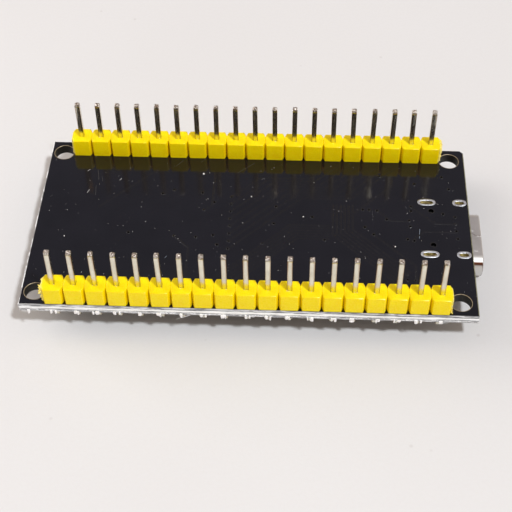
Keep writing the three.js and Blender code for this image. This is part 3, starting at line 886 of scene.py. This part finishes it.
def usb_slots():
    """The plated slots, and the dished solder round each connector leg inside them."""
    rings, solder = bmesh.new(), bmesh.new()
    width = USB_SLOT_WIDTH
    rim = 0.29
    for x, length in USB_SLOTS:
        for side in (-1, 1):
            place = on_board(x, side * USB_SLOT_Y).xy
            outer = slot_outline(*place, length + 2 * rim, width + 2 * rim)
            inner = slot_outline(*place, length - 0.01, width - 0.01)
            add_eyelet(rings, outer, inner, 0.05)
            loops = [at(slot_outline(*place, length - 0.03, width - 0.03), PIN_FACE - 1.1)]
            for share, depth in SLOT_SOLDER:
                loops.append(at(slot_outline(*place, length * share, width * share), PIN_FACE - depth))
            loft(solder, loops)
    finish_piece("usb_slot_plating", rings, "solder", 50)
    finish_piece("usb_slot_solder", solder, "leg_solder", 60)


def usb_peg_holes():
    rims, walls = bmesh.new(), bmesh.new()
    for side in (-1, 1):
        middle = on_board(USB_PEG.x, side * USB_PEG.y)
        add_turned(rims, middle, PIN_FACE, PEG_RIM, ring=True)
        add_turned(walls, middle, PIN_FACE, PEG_WALL, ring=True)
    finish_piece("usb_peg_hole_rims", rims, "copper", 50)
    # The walls are painted near-black: painted shade inside the peg holes.
    finish_piece("usb_peg_hole_walls", walls, "painted_hole_shade", 50)


def bend_route(start, end, first):
    """A route of straight legs joined at 45 degrees, the first leg along X or along Y."""
    (x0, y0), (x1, y1) = start, end
    run = min(abs(x1 - x0), abs(y1 - y0))
    step_x, step_y = math.copysign(run, x1 - x0), math.copysign(run, y1 - y0)
    corner, join = (x1 - step_x, y0), (x1, y0 + step_y)
    if first == "y":
        corner, join = (x0, y1 - step_y), (x0 + step_x, y1)
    route = [start]
    for point in (corner, join, end):
        if math.dist(point, route[-1]) > 0.05:
            route.append(point)
    return route


def ribbons(name, look, routes, width, rise, face=PIN_FACE, up=1):
    """A piece made of ribbons along routes measured from the middle of the pin grid."""
    builder = bmesh.new()
    for route in routes:
        add_ribbon(builder, [on_board(x, y).xy for x, y in route], width, face, rise, up)
    finish_piece(name, builder, look)


def vias(name, places, face, up):
    """Small plated holes under the mask: a low ring round a disc painted near-black as painted shade in the
    hole.
    """
    rings, holes = bmesh.new(), bmesh.new()
    ring = ((0.23, -0.004), (0.20, 0.02), (0.165, 0.026), (0.125, 0.004))
    for x, y in places:
        middle = on_board(x, y)
        add_turned(rings, middle, face, [(r, up * h) for r, h in ring], 14, ring=True)
        add_turned(holes, middle, face, [(0.13, up * h) for h in (-0.05, 0.006)], 10)
    finish_piece(f"{name}_rings", rings, "copper", 50)
    finish_piece(f"{name}_holes", holes, "painted_hole_shade")


# Pin side, from the middle of the pin grid: tracks by their two ends and first leg
PIN_SIDE_TRACKS = (
    ((17.8, 9.6), (12.6, 1.9), "y"), ((-5.1, 9.4), (-6.1, 2.0), "y"), ((-12.7, 9.4), (-19.6, 2.2), "y"),
    ((20.3, -9.4), (15.4, -1.5), "y"), ((-7.6, -9.4), (-9.4, -2.6), "y"), ((19.8, 1.0), (15.9, 2.6), "x"),
    ((25.7, 0.7), (20.2, 3.5), "x"), ((25.7, -0.7), (19.9, -2.4), "x"),
)
# Each bundle: the route of its first track, how many run side by side, and the gap between them
TRACK_BUNDLES = (
    (((9.9, -0.1), (4.9, -0.1), (-4.4, -9.4)), 6, 0.45),
    (((10.2, 3.6), (10.2, -1.6), (18.0, -9.4)), 6, 0.5),
)
FAN_COUNT = 8
MODULE_PITCH = 1.27
PIN_SIDE_VIAS = (
    (24.3, 9.0), (25.1, 6.8), (20.1, 3.5), (20.1, 2.8), (19.8, 1.1), (19.9, 0.1), (20.3, -2.3), (24.1, 2.4),
    (25.6, 1.9), (25.6, 0.7), (25.6, -0.5), (25.7, -1.8), (14.0, 2.8), (14.8, 2.8), (15.8, 2.7), (14.2, -0.2),
    (15.3, -1.4), (17.0, 1.2), (7.6, 1.3), (2.8, 0.0), (1.5, -3.4), (3.0, 3.0), (9.2, -2.5), (19.5, -2.1),
    (20.7, 7.6), (16.3, 8.9), (-6.5, 5.1), (-4.9, 3.5), (-6.1, 2.1), (-9.5, -2.5), (-6.8, -2.6), (-4.7, -2.2),
    (-4.1, -3.8), (-10.2, 5.5), (19.2, -7.8), (19.2, -8.7), (20.2, -8.7), (-15.3, -2.1), (-11.6, 4.8),
)
# Marks on the mask, by their two ends: bluish and pale scratches, and fainter hairlines
BLUISH_SCRATCHES = (((21.05, -0.25), (20.95, -1.85)), ((-10.35, -6.15), (-10.1, -5.85)))
PALE_SCRATCHES = (((-17.5, 7.0), (-17.2, 7.4)), ((-21.85, 8.6), (-21.55, 8.9)), ((-21.4, 4.6), (-21.15, 5.2)))
HAIRLINES = (
    ((-20.5, 8.85), (-20.2, 7.05)), ((-19.85, 7.7), (-19.65, 6.8)), ((-20.4, 6.0), (-20.25, 4.25)),
    ((-10.35, 9.85), (-9.45, 11.05)), ((-7.1, 10.75), (-6.55, 11.35)), ((-2.2, 8.9), (-0.05, 10.8)),
    ((-13.05, 7.4), (-12.9, 7.05)), ((-26.05, 3.75), (-25.75, 4.05)),
)
# Where the largest crumbs of dust lie, and their radius
LARGE_CRUMBS = ((-6.6, 8.5, 0.12), (17.9, -3.4, 0.08), (6.5, 1.3, 0.07), (-0.2, 4.6, 0.07),
                (-23.2, -3.0, 0.07))
DUST_COUNT = 150


def fan_of_tracks():
    """From neighbouring far pins: slanting in, side by side along the board, then out to a column of vias."""
    first_x, pin_y, first_level, gap = 10.2, 11.2, 8.1, 0.5
    column_x, column_top = -2.7, 4.5
    routes = []
    for i in range(FAN_COUNT):
        level = first_level - gap * i
        start_x = first_x + MODULE_PITCH * i
        end_y = column_top - MODULE_PITCH * i
        bends = (start_x - pin_y + level, level), (column_x + level - end_y, level)
        routes.append([(start_x, pin_y), *bends, (column_x, end_y)])
    return routes


def side_by_side(route, count, gap):
    """Copies of a route, each to the left of the one before."""
    return [[p + normal * gap * i for p, normal in mitred(route)] for i in range(count)]


def pin_side_details():
    """Tracks and vias under the mask, scratches in it, and crumbs of dust on it."""
    bent = [bend_route(*ends) for ends in PIN_SIDE_TRACKS]
    ribbons("copper_tracks_pin_side", "copper", bent, 0.2, 0.011)
    routes = fan_of_tracks()
    column = [route[-1] for route in routes]
    for route, count, gap in TRACK_BUNDLES:
        routes += side_by_side(route, count, gap)
    ribbons("copper_bundles_pin_side", "copper", routes, 0.17, 0.012)
    vias("pin_side_vias", list(PIN_SIDE_VIAS) + column, PIN_FACE, 1)
    ribbons("mask_scratches", "bluish", BLUISH_SCRATCHES, 0.012, 0.006)
    ribbons("pale_scratches", "dust", PALE_SCRATCHES, 0.012, 0.006)
    ribbons("mask_hairlines", "hairline", HAIRLINES, 0.012, 0.006)
    builder = bmesh.new()
    rng = random.Random(31)
    crumbs = [(rng.uniform(-26.5, 26.5), rng.uniform(-11, 11), 0.015 + 0.022 * rng.random() ** 2)
              for _ in range(DUST_COUNT)]
    for x, y, radius in crumbs + list(LARGE_CRUMBS):
        add_flake(builder, on_board(x, y, PIN_FACE + radius), EAST, NORTH,
                  2 * radius, radius, 2 * radius, rng, 0.1 * radius)
    finish_piece("dust_crumbs", builder, "dust")


# ---- Snapped and cut edges --------------------------------------------------------------

# Cross-section of a scored and snapped edge: outwards, and down from the pin face
SCORE_PROFILE = ((-0.02, 0.0), (0.0, 0.012), (0.05, 0.20), (0.10, 0.39), (0.24, 0.44), (0.28, 0.49),
                 (0.26, 0.68), (0.31, 0.73), (0.28, 0.86), (0.16, 0.98), (0.07, 1.15), (0.0, 1.29),
                 (-0.06, 1.28))
TORN_POINTS = (6, 7, 8, 9)
# Just under 0.16, so that 340 gaps fit into the board's 54.4
STATION_GAP = 0.1599


def snapped_edge(name, start, end, outward, proud, seed, broken=False):
    """One scored and snapped edge of the board: two sloping cuts with torn glass fibre between them."""
    rng = random.Random(seed)
    builder = bmesh.new()
    length = (end - start).length
    along = (end - start).normalized()
    stations = int(length / STATION_GAP)
    loops = []
    for i in range(stations + 1):
        place = start + along * length * i / stations
        left_over = 0.5 + 1.8 * noise.noise(Vector((i * 0.17, 0.5, seed)))
        loop = []
        for k, (out, fall) in enumerate(SCORE_PROFILE):
            reach = out * proud
            wave = noise.noise(Vector((i * 0.09, k * 0.9, seed * 3.7)))
            if k in TORN_POINTS:
                reach += proud * (0.04 * rng.uniform(-1, 1) + 0.08 * wave)
                fall += 0.03 * rng.uniform(-1, 1) + 0.04 * wave
            elif 1 < k < 11:
                reach += 0.006 * rng.uniform(-1, 1) + 0.012 * wave
            if broken and k > 1:
                reach *= min(0.75, max(0.12, left_over))
                fall = max(0.03, fall - 0.3)
            loop.append(place + outward * reach - UP * fall)
        loops.append(loop)
    loft(builder, loops)
    for _ in range(int(length)):
        place = start + along * rng.uniform(0.02, 0.95) * length - UP * rng.uniform(0.45, 0.95)
        root = place + outward * 0.24 * proud
        tip = root + (along * rng.uniform(0.4, 1.6) + outward * rng.uniform(0.0, 0.1) * proud
                      - UP * rng.uniform(-0.1, 0.12))
        add_shred(builder, root, tip, rng.uniform(0.05, 0.11), rng)
    finish_piece(name, builder, "fibre")


def edge_flakes(name, start, end, outward, seed):
    """Crumbs of torn resin hanging from the snapped edge, a cluster beside each pin's pad."""
    rng = random.Random(seed)
    builder = bmesh.new()
    along = (end - start).normalized()
    pins = [pin.middle.x for pin in PINS["near"]]
    for x in [pins[0] - 1.3 * PITCH] + pins:
        place = start + along * (x - start.x)
        for k in range(rng.choice((2, 2, 3, 3, 4))):
            middle = place + along * rng.uniform(-0.42, 0.42) + outward * rng.uniform(0.36, 0.43)
            middle.z -= rng.uniform(0.60, 0.72)
            width = (rng.uniform(0.34, 0.5) if k == 0 else rng.uniform(0.12, 0.26))
            add_flake(builder, middle, along, outward, width, rng.uniform(0.3, 0.6), 0.2, rng)
    strand = ((-6.6, -14.12, 1.1), (-8.3, -14.32, 1.75))
    add_shred(builder, *(on_board(x, y, PIN_FACE - drop) for x, y, drop in strand), 0.07, rng)
    finish_piece(name, builder, "flake")


def board_edges():
    low, high = BOARD.low, BOARD.high
    near_left, near_right, far_left, far_right = (
        Vector((x, y, PIN_FACE)) for x, y in
        ((low.x, low.y), (high.x, low.y), (low.x, high.y), (high.x - 0.45, high.y)))
    snapped_edge("snapped_edge_near", near_left, near_right, -NORTH, 1.0, 101)
    snapped_edge("snapped_edge_left", near_left, far_left, -EAST, 0.9, 102, broken=True)
    snapped_edge("snapped_edge_far", far_left, far_right, NORTH, 0.3, 103)
    edge_flakes("edge_flakes_near", near_left, near_right, -NORTH, 104)
    builder = bmesh.new()
    line, rise = 0.05, 0.004
    route = [(high.x - line, low.y + line), (high.x - line, high.y - 0.5)]
    for face, up in ((PIN_FACE, 1), (COMPONENT_FACE, -1)):
        add_ribbon(builder, route, line, face, rise, up)
    finish_piece("bare_right_edge", builder, "laminate")


# ---- USB connector ----------------------------------------------------------------------

USB_TOP = COMPONENT_FACE - 0.04
USB_MIDDLE_Z = (USB_TOP + USB.low.z) / 2
USB_WALL = 0.3
USB_END_RADIUS = 1.5
# Nicks on the shell, painted matte white as painted glints: place from the middle of the pin grid, and length
USB_NICK_PAINTED_GLINTS = ((28.4, 0.05, 0.16), (28.7, 0.02, 0.12), (27.75, 0.9, 0.22), (27.8, -2.5, 0.5))
CONTACT_COUNT = 12
CONTACT_PITCH = 0.5
CONTACT_WIDTH = 0.27


def usb_section(inset):
    """The connector's rounded cross-section as (y, z) points, drawn in by an inset."""
    height = USB_TOP - USB.low.z
    return rounded_rectangle(GRID.y, USB_MIDDLE_Z, USB.size.y - 2 * inset, height - 2 * inset,
                             USB_END_RADIUS - inset, steps=9)


def usb_shell():
    """The shell's rolled skin, rounded at the mouth, and its four legs."""
    builder = bmesh.new()
    length = USB.size.x
    # Distance back from the mouth and inset of the skin, from the back wall round the lip to the inside
    levels = ((length, 0.12), (length - 0.1, 0.02), (length - 0.25, 0.0), (0.14, 0.0), (0.05, 0.03),
              (0.0, 0.10), (0.0, 0.22), (0.05, 0.28), (0.14, USB_WALL), (length - 0.6, USB_WALL))
    loft(builder, [[(USB.high.x - depth, y, z) for y, z in usb_section(inset)] for depth, inset in levels])
    for x, slot_length in USB_SLOTS:
        for side in (-1, 1):
            leg = on_board(x, side * (USB.high.y - USB_WALL / 2 - 0.02))
            add_pillow(builder, leg.x, leg.y, slot_length - 0.25, 0.26, 1.6, USB.high.z, 0.05)
    finish_piece("usb_shell_skin", builder, "shell", 40, nodes=["usb_shell"])


def usb_shell_marks():
    """The dovetailed seam where the rolled shell meets itself, and nicks in its end painted matte white as
    painted glints.
    """
    seam = bmesh.new()
    y, out, lock = GRID.y + 0.15, 0.45, 0.3
    x = USB.high.x - 2.9
    route = [(USB.high.x - 0.12, y), (x + 2.1, y), (x + 2.0, y + out - lock), (x + 1.5, y + out),
             (x + 1.4, y - out), (x + 0.9, y - out + lock), (x + 0.8, y), (USB.low.x + 1.9, y)]
    add_ribbon(seam, route, 0.03, USB_TOP, 0.006, 1)
    finish_piece("usb_shell_seam", seam, "seam")
    nick_painted_glints = [((x, y), (x + length, y - 0.04)) for x, y, length in USB_NICK_PAINTED_GLINTS]
    ribbons("usb_shell_nick_painted_glints", "nick_painted_glint", nick_painted_glints, 0.07, 0.008, USB_TOP)


def usb_contacts():
    """Contacts on both sides of the tongue, and the row of bent tails soldered to the board."""
    builder = bmesh.new()
    tongue_end = Box("usb_insulator").high.x
    length, from_middle, half_thickness = 3.2, 0.355, 0.02
    tail = [(a, COMPONENT_FACE - b) for a, b in ((0.0, 0.5), (0.15, 0.46), (0.3, 0.12), (0.75, 0.09))]
    for i in range(CONTACT_COUNT):
        y = GRID.y + (i - (CONTACT_COUNT - 1) / 2) * CONTACT_PITCH
        for side in (-1, 1):
            z = USB_MIDDLE_Z + side * from_middle
            add_pillow(builder, tongue_end - 1.9, y, length, CONTACT_WIDTH, z - half_thickness,
                       z + half_thickness, 0.015)
        add_strip(builder, Vector((USB.low.x + 0.05, y, 0)), math.pi, tail, CONTACT_WIDTH, 0.12)
    finish_piece("usb_contacts", builder, "gold")


# ---- Radio module -----------------------------------------------------------------------

SIDE_PADS = 14
END_PADS = 10
FIRST_PAD = 1.5
# The can's lid: height above the table, inset and corner radius, from the rim to the stepped top
CAN_PROFILE = [(z, inset, 0.8 - 0.6 * inset) for z, inset in
               ((CAN.high.z, 0.0), (0.32, 0.0), (0.2, 0.02), (0.09, 0.08), (0.02, 0.2), (0.0, 0.36))]
CAN_PROFILE += [(0.006, 0.7, 0.5), (0.03, 0.8, 0.45)]


def module_pads():
    """Each edge pad of the module: its middle on the edge, and which way is outwards."""
    pads = []
    for side in (-1, 1):
        y = GRID.y + side * MODULE.size.y / 2
        for i in range(SIDE_PADS):
            pads.append((Vector((MODULE.high.x - FIRST_PAD - i * MODULE_PITCH, y, 0)), NORTH * side))
    for i in range(END_PADS):
        y = GRID.y + (i - (END_PADS - 1) / 2) * MODULE_PITCH
        pads.append((Vector((MODULE.high.x, y, 0)), EAST))
    return pads


def radio_module():
    """The module's gold pads with their solder, its can's lid, its antenna and a dot at one corner."""
    pads, joints, lid, antenna, marks = (bmesh.new() for _ in range(5))
    pad_inset = 0.72
    for place, outward in module_pads():
        inner = place - outward * pad_inset
        size_x, size_y = (0.8, 0.95) if outward.y else (0.95, 0.8)
        add_pillow(pads, inner.x, inner.y, size_x, size_y, MODULE.low.z - 0.03,
                   MODULE.low.z + 0.01, 0.02, corner=0.12)
        foot = place - outward * 0.18 + UP * COMPONENT_FACE
        add_fillet(joints, foot, outward, 0.95, 0.82, 0.72)
    finish_piece("module_edge_pads", pads, "gold", 50)
    finish_piece("module_edge_solder", joints, "solder", 50)
    loft(lid, [at(rounded_rectangle(CAN.middle.x, CAN.middle.y, CAN.size.x - 2 * inset,
                                    CAN.size.y - 2 * inset, radius, steps=6), z)
               for z, inset, radius in CAN_PROFILE])
    finish_piece("module_can_lid", lid, "bright_steel", 40, nodes=["radio_module_can"])
    leg, leg_pitch, leg_count, line = 4.6, 1.95, 7, 0.5
    left = MODULE.low.x + 0.9
    right = left + leg
    y = GRID.y - 6.8
    route = [(right + line, y)]
    for i in range(leg_count):
        route += [(right, y), (left, y)] if i % 2 == 0 else [(left, y), (right, y)]
        y += leg_pitch
    add_ribbon(antenna, route, line, MODULE.low.z, 0.03, -1)
    finish_piece("module_antenna", antenna, "copper")
    dot = Vector((MODULE.high.x - 1.4, GRID.y + 7.6))
    add_turned(marks, dot, MODULE.low.z, ((0.28, 0.01), (0.28, -0.012)))
    finish_piece("module_corner_dot", marks, "ink")


# ---- Small soldered parts of the component side -----------------------------------------

# Middle, turn in quarters, kind
SMALL_PARTS = (
    (1.2, 6.4, 1, "resistor"), (1.2, 3.6, 0, "capacitor"), (1.2, 1.6, 0, "capacitor"),
    (1.2, -0.4, 0, "resistor"), (1.2, -2.4, 0, "resistor"), (3.6, 7.6, 0, "resistor"),
    (6.4, 7.6, 0, "capacitor"), (10.6, 5.4, 1, "resistor"), (10.6, 2.6, 1, "resistor"),
    (10.6, 0.0, 1, "capacitor"), (12.6, 0.0, 1, "capacitor"), (14.6, 0.0, 1, "resistor"),
    (16.6, 0.0, 1, "resistor"), (14.6, 3.4, 0, "capacitor"), (17.4, 3.4, 0, "resistor"),
    (18.8, 1.0, 1, "resistor"), (18.8, -2.0, 1, "resistor"), (6.4, -1.2, 0, "capacitor"),
    (3.8, -9.8, 0, "capacitor"), (7.4, -9.8, 0, "capacitor"), (11.6, 9.4, 0, "capacitor"),
    (8.4, 9.4, 0, "resistor"),
)
SMALL_LENGTH, SMALL_WIDTH = 1.6, 0.8
SMALL_HEIGHTS = {"resistor": 0.45, "capacitor": 0.8}
TRANSISTORS = ((3.4, -3.4), (3.4, -6.6))
BULK_CAPACITOR = (7.6, -5.8)
# A plastic rivet's head on a button's cover: radius and height
RIVET = ((0.2, 0.02), (0.2, -0.03), (0.15, -0.06), (0.05, -0.07))
# The diode's wrapped leads: outwards, and down from the board
DIODE_WRAP = ((-0.05, 1.15), (0.12, 1.15), (0.2, 1.05), (0.2, 0.16), (0.1, 0.09), (-1.0, 0.09))


def below(height):
    """A height on the component side, measured downwards from the board."""
    return COMPONENT_FACE - height


def small_parts():
    """Resistors and capacitors: a body, two metal ends and the solder at them."""
    bodies = {"resistor": bmesh.new(), "capacitor": bmesh.new()}
    ends, joints = bmesh.new(), bmesh.new()
    length, width = SMALL_LENGTH, SMALL_WIDTH
    for x, y, quarter, kind in SMALL_PARTS:
        height = SMALL_HEIGHTS[kind]
        turn = quarter * math.pi / 2
        p = on_board(x, y)
        ahead = heading(turn)
        add_pillow(bodies[kind], p.x, p.y, length - 0.5, width, below(height), below(0.04), 0.03, turn)
        for side in (-1, 1):
            q = p + ahead * side * (length / 2 - 0.17)
            top = below(height + 0.015)
            add_pillow(ends, q.x, q.y, 0.36, width + 0.03, top, below(0.02), 0.05, turn)
        solder_ends(joints, p, ahead, length / 2 - 0.02, 0.42, height * 0.8, width * 0.95)
    finish_piece("small_resistor_bodies", bodies["resistor"], "resistor", 40)
    finish_piece("small_capacitor_bodies", bodies["capacitor"], "capacitor", 40)
    finish_piece("small_part_ends", ends, "solder", 40)
    finish_piece("small_part_solder", joints, "solder", 50)


def add_lead(leads, joints, root, turn, height, reach, width, thickness):
    """A gull-wing lead from a body's side to the board, and its solder."""
    top, low = below(height), below(thickness / 2 + 0.03)
    path = [(-0.1, top), (0.22 * reach, top), (0.42 * reach, (top + low) / 2), (0.55 * reach, low),
            (reach, low)]
    add_strip(leads, root, turn, path, width, thickness)
    ahead = heading(turn)
    foot = root + ahead * (reach - 0.03) + UP * COMPONENT_FACE
    add_fillet(joints, foot, ahead, 0.4, thickness * 1.3, width * 1.15)


def regulator(leads, joints):
    box = Box("voltage_regulator")
    x, y, _ = box.middle
    half, stand, reach, thickness = 1.75, 0.9, 1.7, 0.25
    body = bmesh.new()
    add_pillow(body, x, y, 2 * half, 6.5, box.low.z, below(0.1), 0.12)
    for offset in (-2.3, 0.0, 2.3):
        add_lead(leads, joints, Vector((x + half, y + offset, 0)), 0.0, stand, reach, 0.72, thickness)
    add_lead(leads, joints, Vector((x - half, y, 0)), math.pi, stand, reach, 3.0, thickness)
    finish_piece("regulator_body", body, "black", 40, nodes=["voltage_regulator"])


def transistors(leads, joints):
    bodies = bmesh.new()
    half, lead = 0.65, (0.55, 0.6, 0.4, 0.12)
    for place in TRANSISTORS:
        x, y, _ = on_board(*place)
        add_pillow(bodies, x, y, 2 * half, 2.9, below(1.05), below(0.08), 0.07)
        for offset in (-0.95, 0.95):
            add_lead(leads, joints, Vector((x + half, y + offset, 0)), 0.0, *lead)
        add_lead(leads, joints, Vector((x - half, y, 0)), math.pi, *lead)
    finish_piece("small_transistors", bodies, "black", 40)


def diode(leads, joints):
    box = Box("polarity_diode")
    x, y, _ = box.middle
    body, band = bmesh.new(), bmesh.new()
    add_pillow(body, x, y, 4.2, 2.6, box.low.z, below(0.1), 0.14)
    add_pillow(band, x - 1.45, y, 0.55, 2.2, box.low.z - 0.008, box.low.z + 0.05, 0.005)
    wrap = [(a, below(b)) for a, b in DIODE_WRAP]
    for side, turn in ((-1, math.pi), (1, 0.0)):
        add_strip(leads, Vector((x + side * 2.1, y, 0)), turn, wrap, 1.4, 0.16)
    solder_ends(joints, box.middle, EAST, 2.38, 0.5, 0.7, 1.5)
    finish_piece("diode_body", body, "black", 40, nodes=["polarity_diode"])
    finish_piece("diode_band", band, "ink")


def leaded_parts():
    """The regulator, transistors and diode: moulded bodies with bent leads."""
    leads, joints = bmesh.new(), bmesh.new()
    regulator(leads, joints)
    transistors(leads, joints)
    diode(leads, joints)
    finish_piece("bent_leads", leads, "solder")
    finish_piece("lead_solder", joints, "solder", 50)


def chip_and_lamp():
    """Solder round the square chip, the power lamp with its clear lens, and the bulk capacitor."""
    joints, marks, block, base, lens = (bmesh.new() for _ in range(5))
    chip = Box("usb_serial_chip")
    half = chip.size.x / 2
    for outward in (EAST, NORTH, -EAST, -NORTH):
        side = Vector((-outward.y, outward.x, 0))
        for i in range(7):
            foot = chip.middle + outward * (half - 0.02) + side * (i - 3) * 0.5
            foot.z = COMPONENT_FACE
            add_fillet(joints, foot, outward, 0.35, 0.2, 0.26)
    dot = chip.middle + Vector((0.6 - half, half - 0.6, 0))
    add_turned(marks, dot, chip.low.z, ((0.22, 0.01), (0.22, -0.006)), 16)
    p = on_board(*BULK_CAPACITOR)
    add_pillow(block, p.x, p.y, 2.8, 3.5, below(1.9), below(0.1), 0.1)
    add_pillow(marks, p.x, p.y + 1.3, 2.4, 0.45, below(1.908), below(1.8), 0.005)
    solder_ends(joints, p, NORTH, 1.72, 0.6, 0.8, 2.2)
    finish_piece("bulk_capacitor", block, "tantalum", 40)
    lamp = Box("power_lamp")
    x, y, _ = lamp.middle
    length, width, _ = lamp.size
    add_pillow(base, x, y, length, width, below(0.32), below(0.02), 0.03)
    add_pillow(lens, x, y, length * 0.7, width * 0.96, lamp.low.z, below(0.3), 0.12)
    solder_ends(joints, lamp.middle, EAST, length / 2 - 0.02, 0.4, 0.28, width * 0.95)
    finish_piece("lamp_base", base, "lamp_case", 40, nodes=["power_lamp"])
    finish_piece("lamp_lens", lens, "lens", 40, nodes=["power_lamp"])
    finish_piece("chip_solder", joints, "solder", 50)
    finish_piece("chip_marks", marks, "ink")


def snap_dome(name):
    """A button's sprung steel dome, bulging down from its rim, which a press flattens."""
    box = Box(f"{name}_dome")
    radius, thickness, steps = box.size.x / 2, 0.08, 6
    rise = box.size.z - thickness
    outside, inside = [], []
    for i in range(steps + 1):
        share = i / steps
        r = radius * (1 - share) + 0.02 * share
        height = -rise * (1 - (r / radius) ** 2)
        outside.append((r, height - thickness))
        inside.append((r, height))
    builder = bmesh.new()
    add_turned(builder, box.middle, box.high.z, outside + inside[::-1], 28, ring=True)
    dome = finish_piece(f"{name}_snap_dome", builder, "bright_steel", 60, nodes=[f"{name}_dome"])
    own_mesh(dome)


def buttons():
    rivets, joints = bmesh.new(), bmesh.new()
    for name in ("reset_button", "boot_button"):
        snap_dome(name)
        middle = Box(f"{name}_dome").middle
        cover_low = Box(f"{name}_cover").low.z
        half = Box(f"{name}_base").size.x / 2
        for sx in (-1, 1):
            for sy in (-1, 1):
                place = middle + Vector((sx * 1.15, sy * 1.62, 0))
                add_turned(rivets, place, cover_low, RIVET, 14)
            for sy in (-1, 1):
                foot = middle + Vector((sx * (half - 0.05), sy * 1.45, 0))
                foot.z = COMPONENT_FACE
                add_fillet(joints, foot, EAST * sx, 0.45, 0.25, 0.75)
    finish_piece("button_rivets", rivets, "black", 50)
    finish_piece("button_solder", joints, "solder", 50)


def component_print():
    """Plain printed outlines round the parts, and one frame at the first pin of each row."""
    builder = bmesh.new()
    for node, margin in (("usb_serial_chip", 0.55), ("voltage_regulator", 0.3), ("polarity_diode", 0.75),
                         ("power_lamp", 0.6), ("reset_button_base", 0.35), ("boot_button_base", 0.35)):
        box = Box(node)
        add_frame(builder, box.middle, box.size.x + 2 * margin, box.size.y + 2 * margin)
    for pins in PINS.values():
        add_frame(builder, pins[0].middle, 2.2, 2.2)
    add_frame(builder, MODULE.middle, MODULE.size.x - 0.2, MODULE.size.y + 2.6)
    finish_piece("component_side_print", builder, "ink")


def component_tracks():
    """Fan-out from the module's side pads to the header rows, and a few tracks among the small parts."""
    ends = []
    for side in (-1, 1):
        for i in range(SIDE_PADS):
            pad_x = MODULE.high.x - GRID.x - FIRST_PAD - i * MODULE_PITCH
            ends.append(((pad_x, side * 9.9), (pad_x + 0.9, side * 11.4), "y"))
    places = [(x, y) for x, y, _, _ in SMALL_PARTS]
    for i, (place, following) in enumerate(zip(places, places[1:])):
        ends.append((place, following, "x" if i % 2 else "y"))
    routes = [bend_route(*both_ends) for both_ends in ends]
    ribbons("copper_tracks_component_side", "copper", routes, 0.25, 0.011, COMPONENT_FACE, -1)
    vias("component_side_vias", [(x + 1.9, y + 1.1) for x, y in places if abs(y) < 4], COMPONENT_FACE, -1)


# ---- Everything, in order ---------------------------------------------------------------


def dress_node(node, look, rounding=None):
    """Gives a CAD solid that stays visible its finish and, where it is moulded or stamped, soft edges."""
    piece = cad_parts[node]
    piece.data.materials.clear()
    piece.data.materials.append(LOOKS[look][0])
    if rounding:
        bevel = piece.modifiers.new("soft_edges", "BEVEL")
        bevel.width = rounding * MM
        bevel.segments = 2
        bevel.limit_method = "ANGLE"
        bevel.angle_limit = math.radians(40)


def add_table(material):
    builder = bmesh.new()
    reach, step = 1500, 250
    places = range(-reach, reach, step)
    for x in places:
        for y in places:
            corners = ((x, y), (x + step, y), (x + step, y + step), (x, y + step))
            builder.faces.new([builder.verts.new((a, b, 0)) for a, b in corners])
    bmesh.ops.remove_doubles(builder, verts=builder.verts, dist=0.001)
    table = to_object("table", builder, material)


def build():
    add_camera()
    for light in LIGHTS:
        add_area_light(*light)
    add_room()
    add_table(table_finish())
    make_looks()
    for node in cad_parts:
        dress_node(node, "black")
    for node in ("circuit_board", "radio_module_board"):
        dress_node(node, "mask")
    for button in ("reset_button", "boot_button"):
        dress_node(f"{button}_cover", "bright_steel", 0.03)
        dress_node(f"{button}_plunger", "black", 0.05)
        dress_node(f"{button}_base", "black", 0.04)
    for node in ("usb_serial_chip", "radio_processor_chip", "radio_flash_chip", "usb_insulator"):
        dress_node(node, "black", 0.04)
    dress_node("radio_crystal", "bright_steel", 0.05)
    for row, seed in (("near", 17), ("far", 18)):
        header_housing(row)
        header_solder(row, seed)
    housing_ends()
    rng = random.Random(5)
    for pin in PINS["near"] + PINS["far"]:
        header_pin(pin, rng)
    pin_foot_burrs()
    mounting_holes()
    usb_slots()
    usb_peg_holes()
    pin_side_details()
    board_edges()
    usb_shell()
    usb_shell_marks()
    usb_contacts()
    radio_module()
    small_parts()
    leaded_parts()
    chip_and_lamp()
    buttons()
    component_print()
    component_tracks()


build()
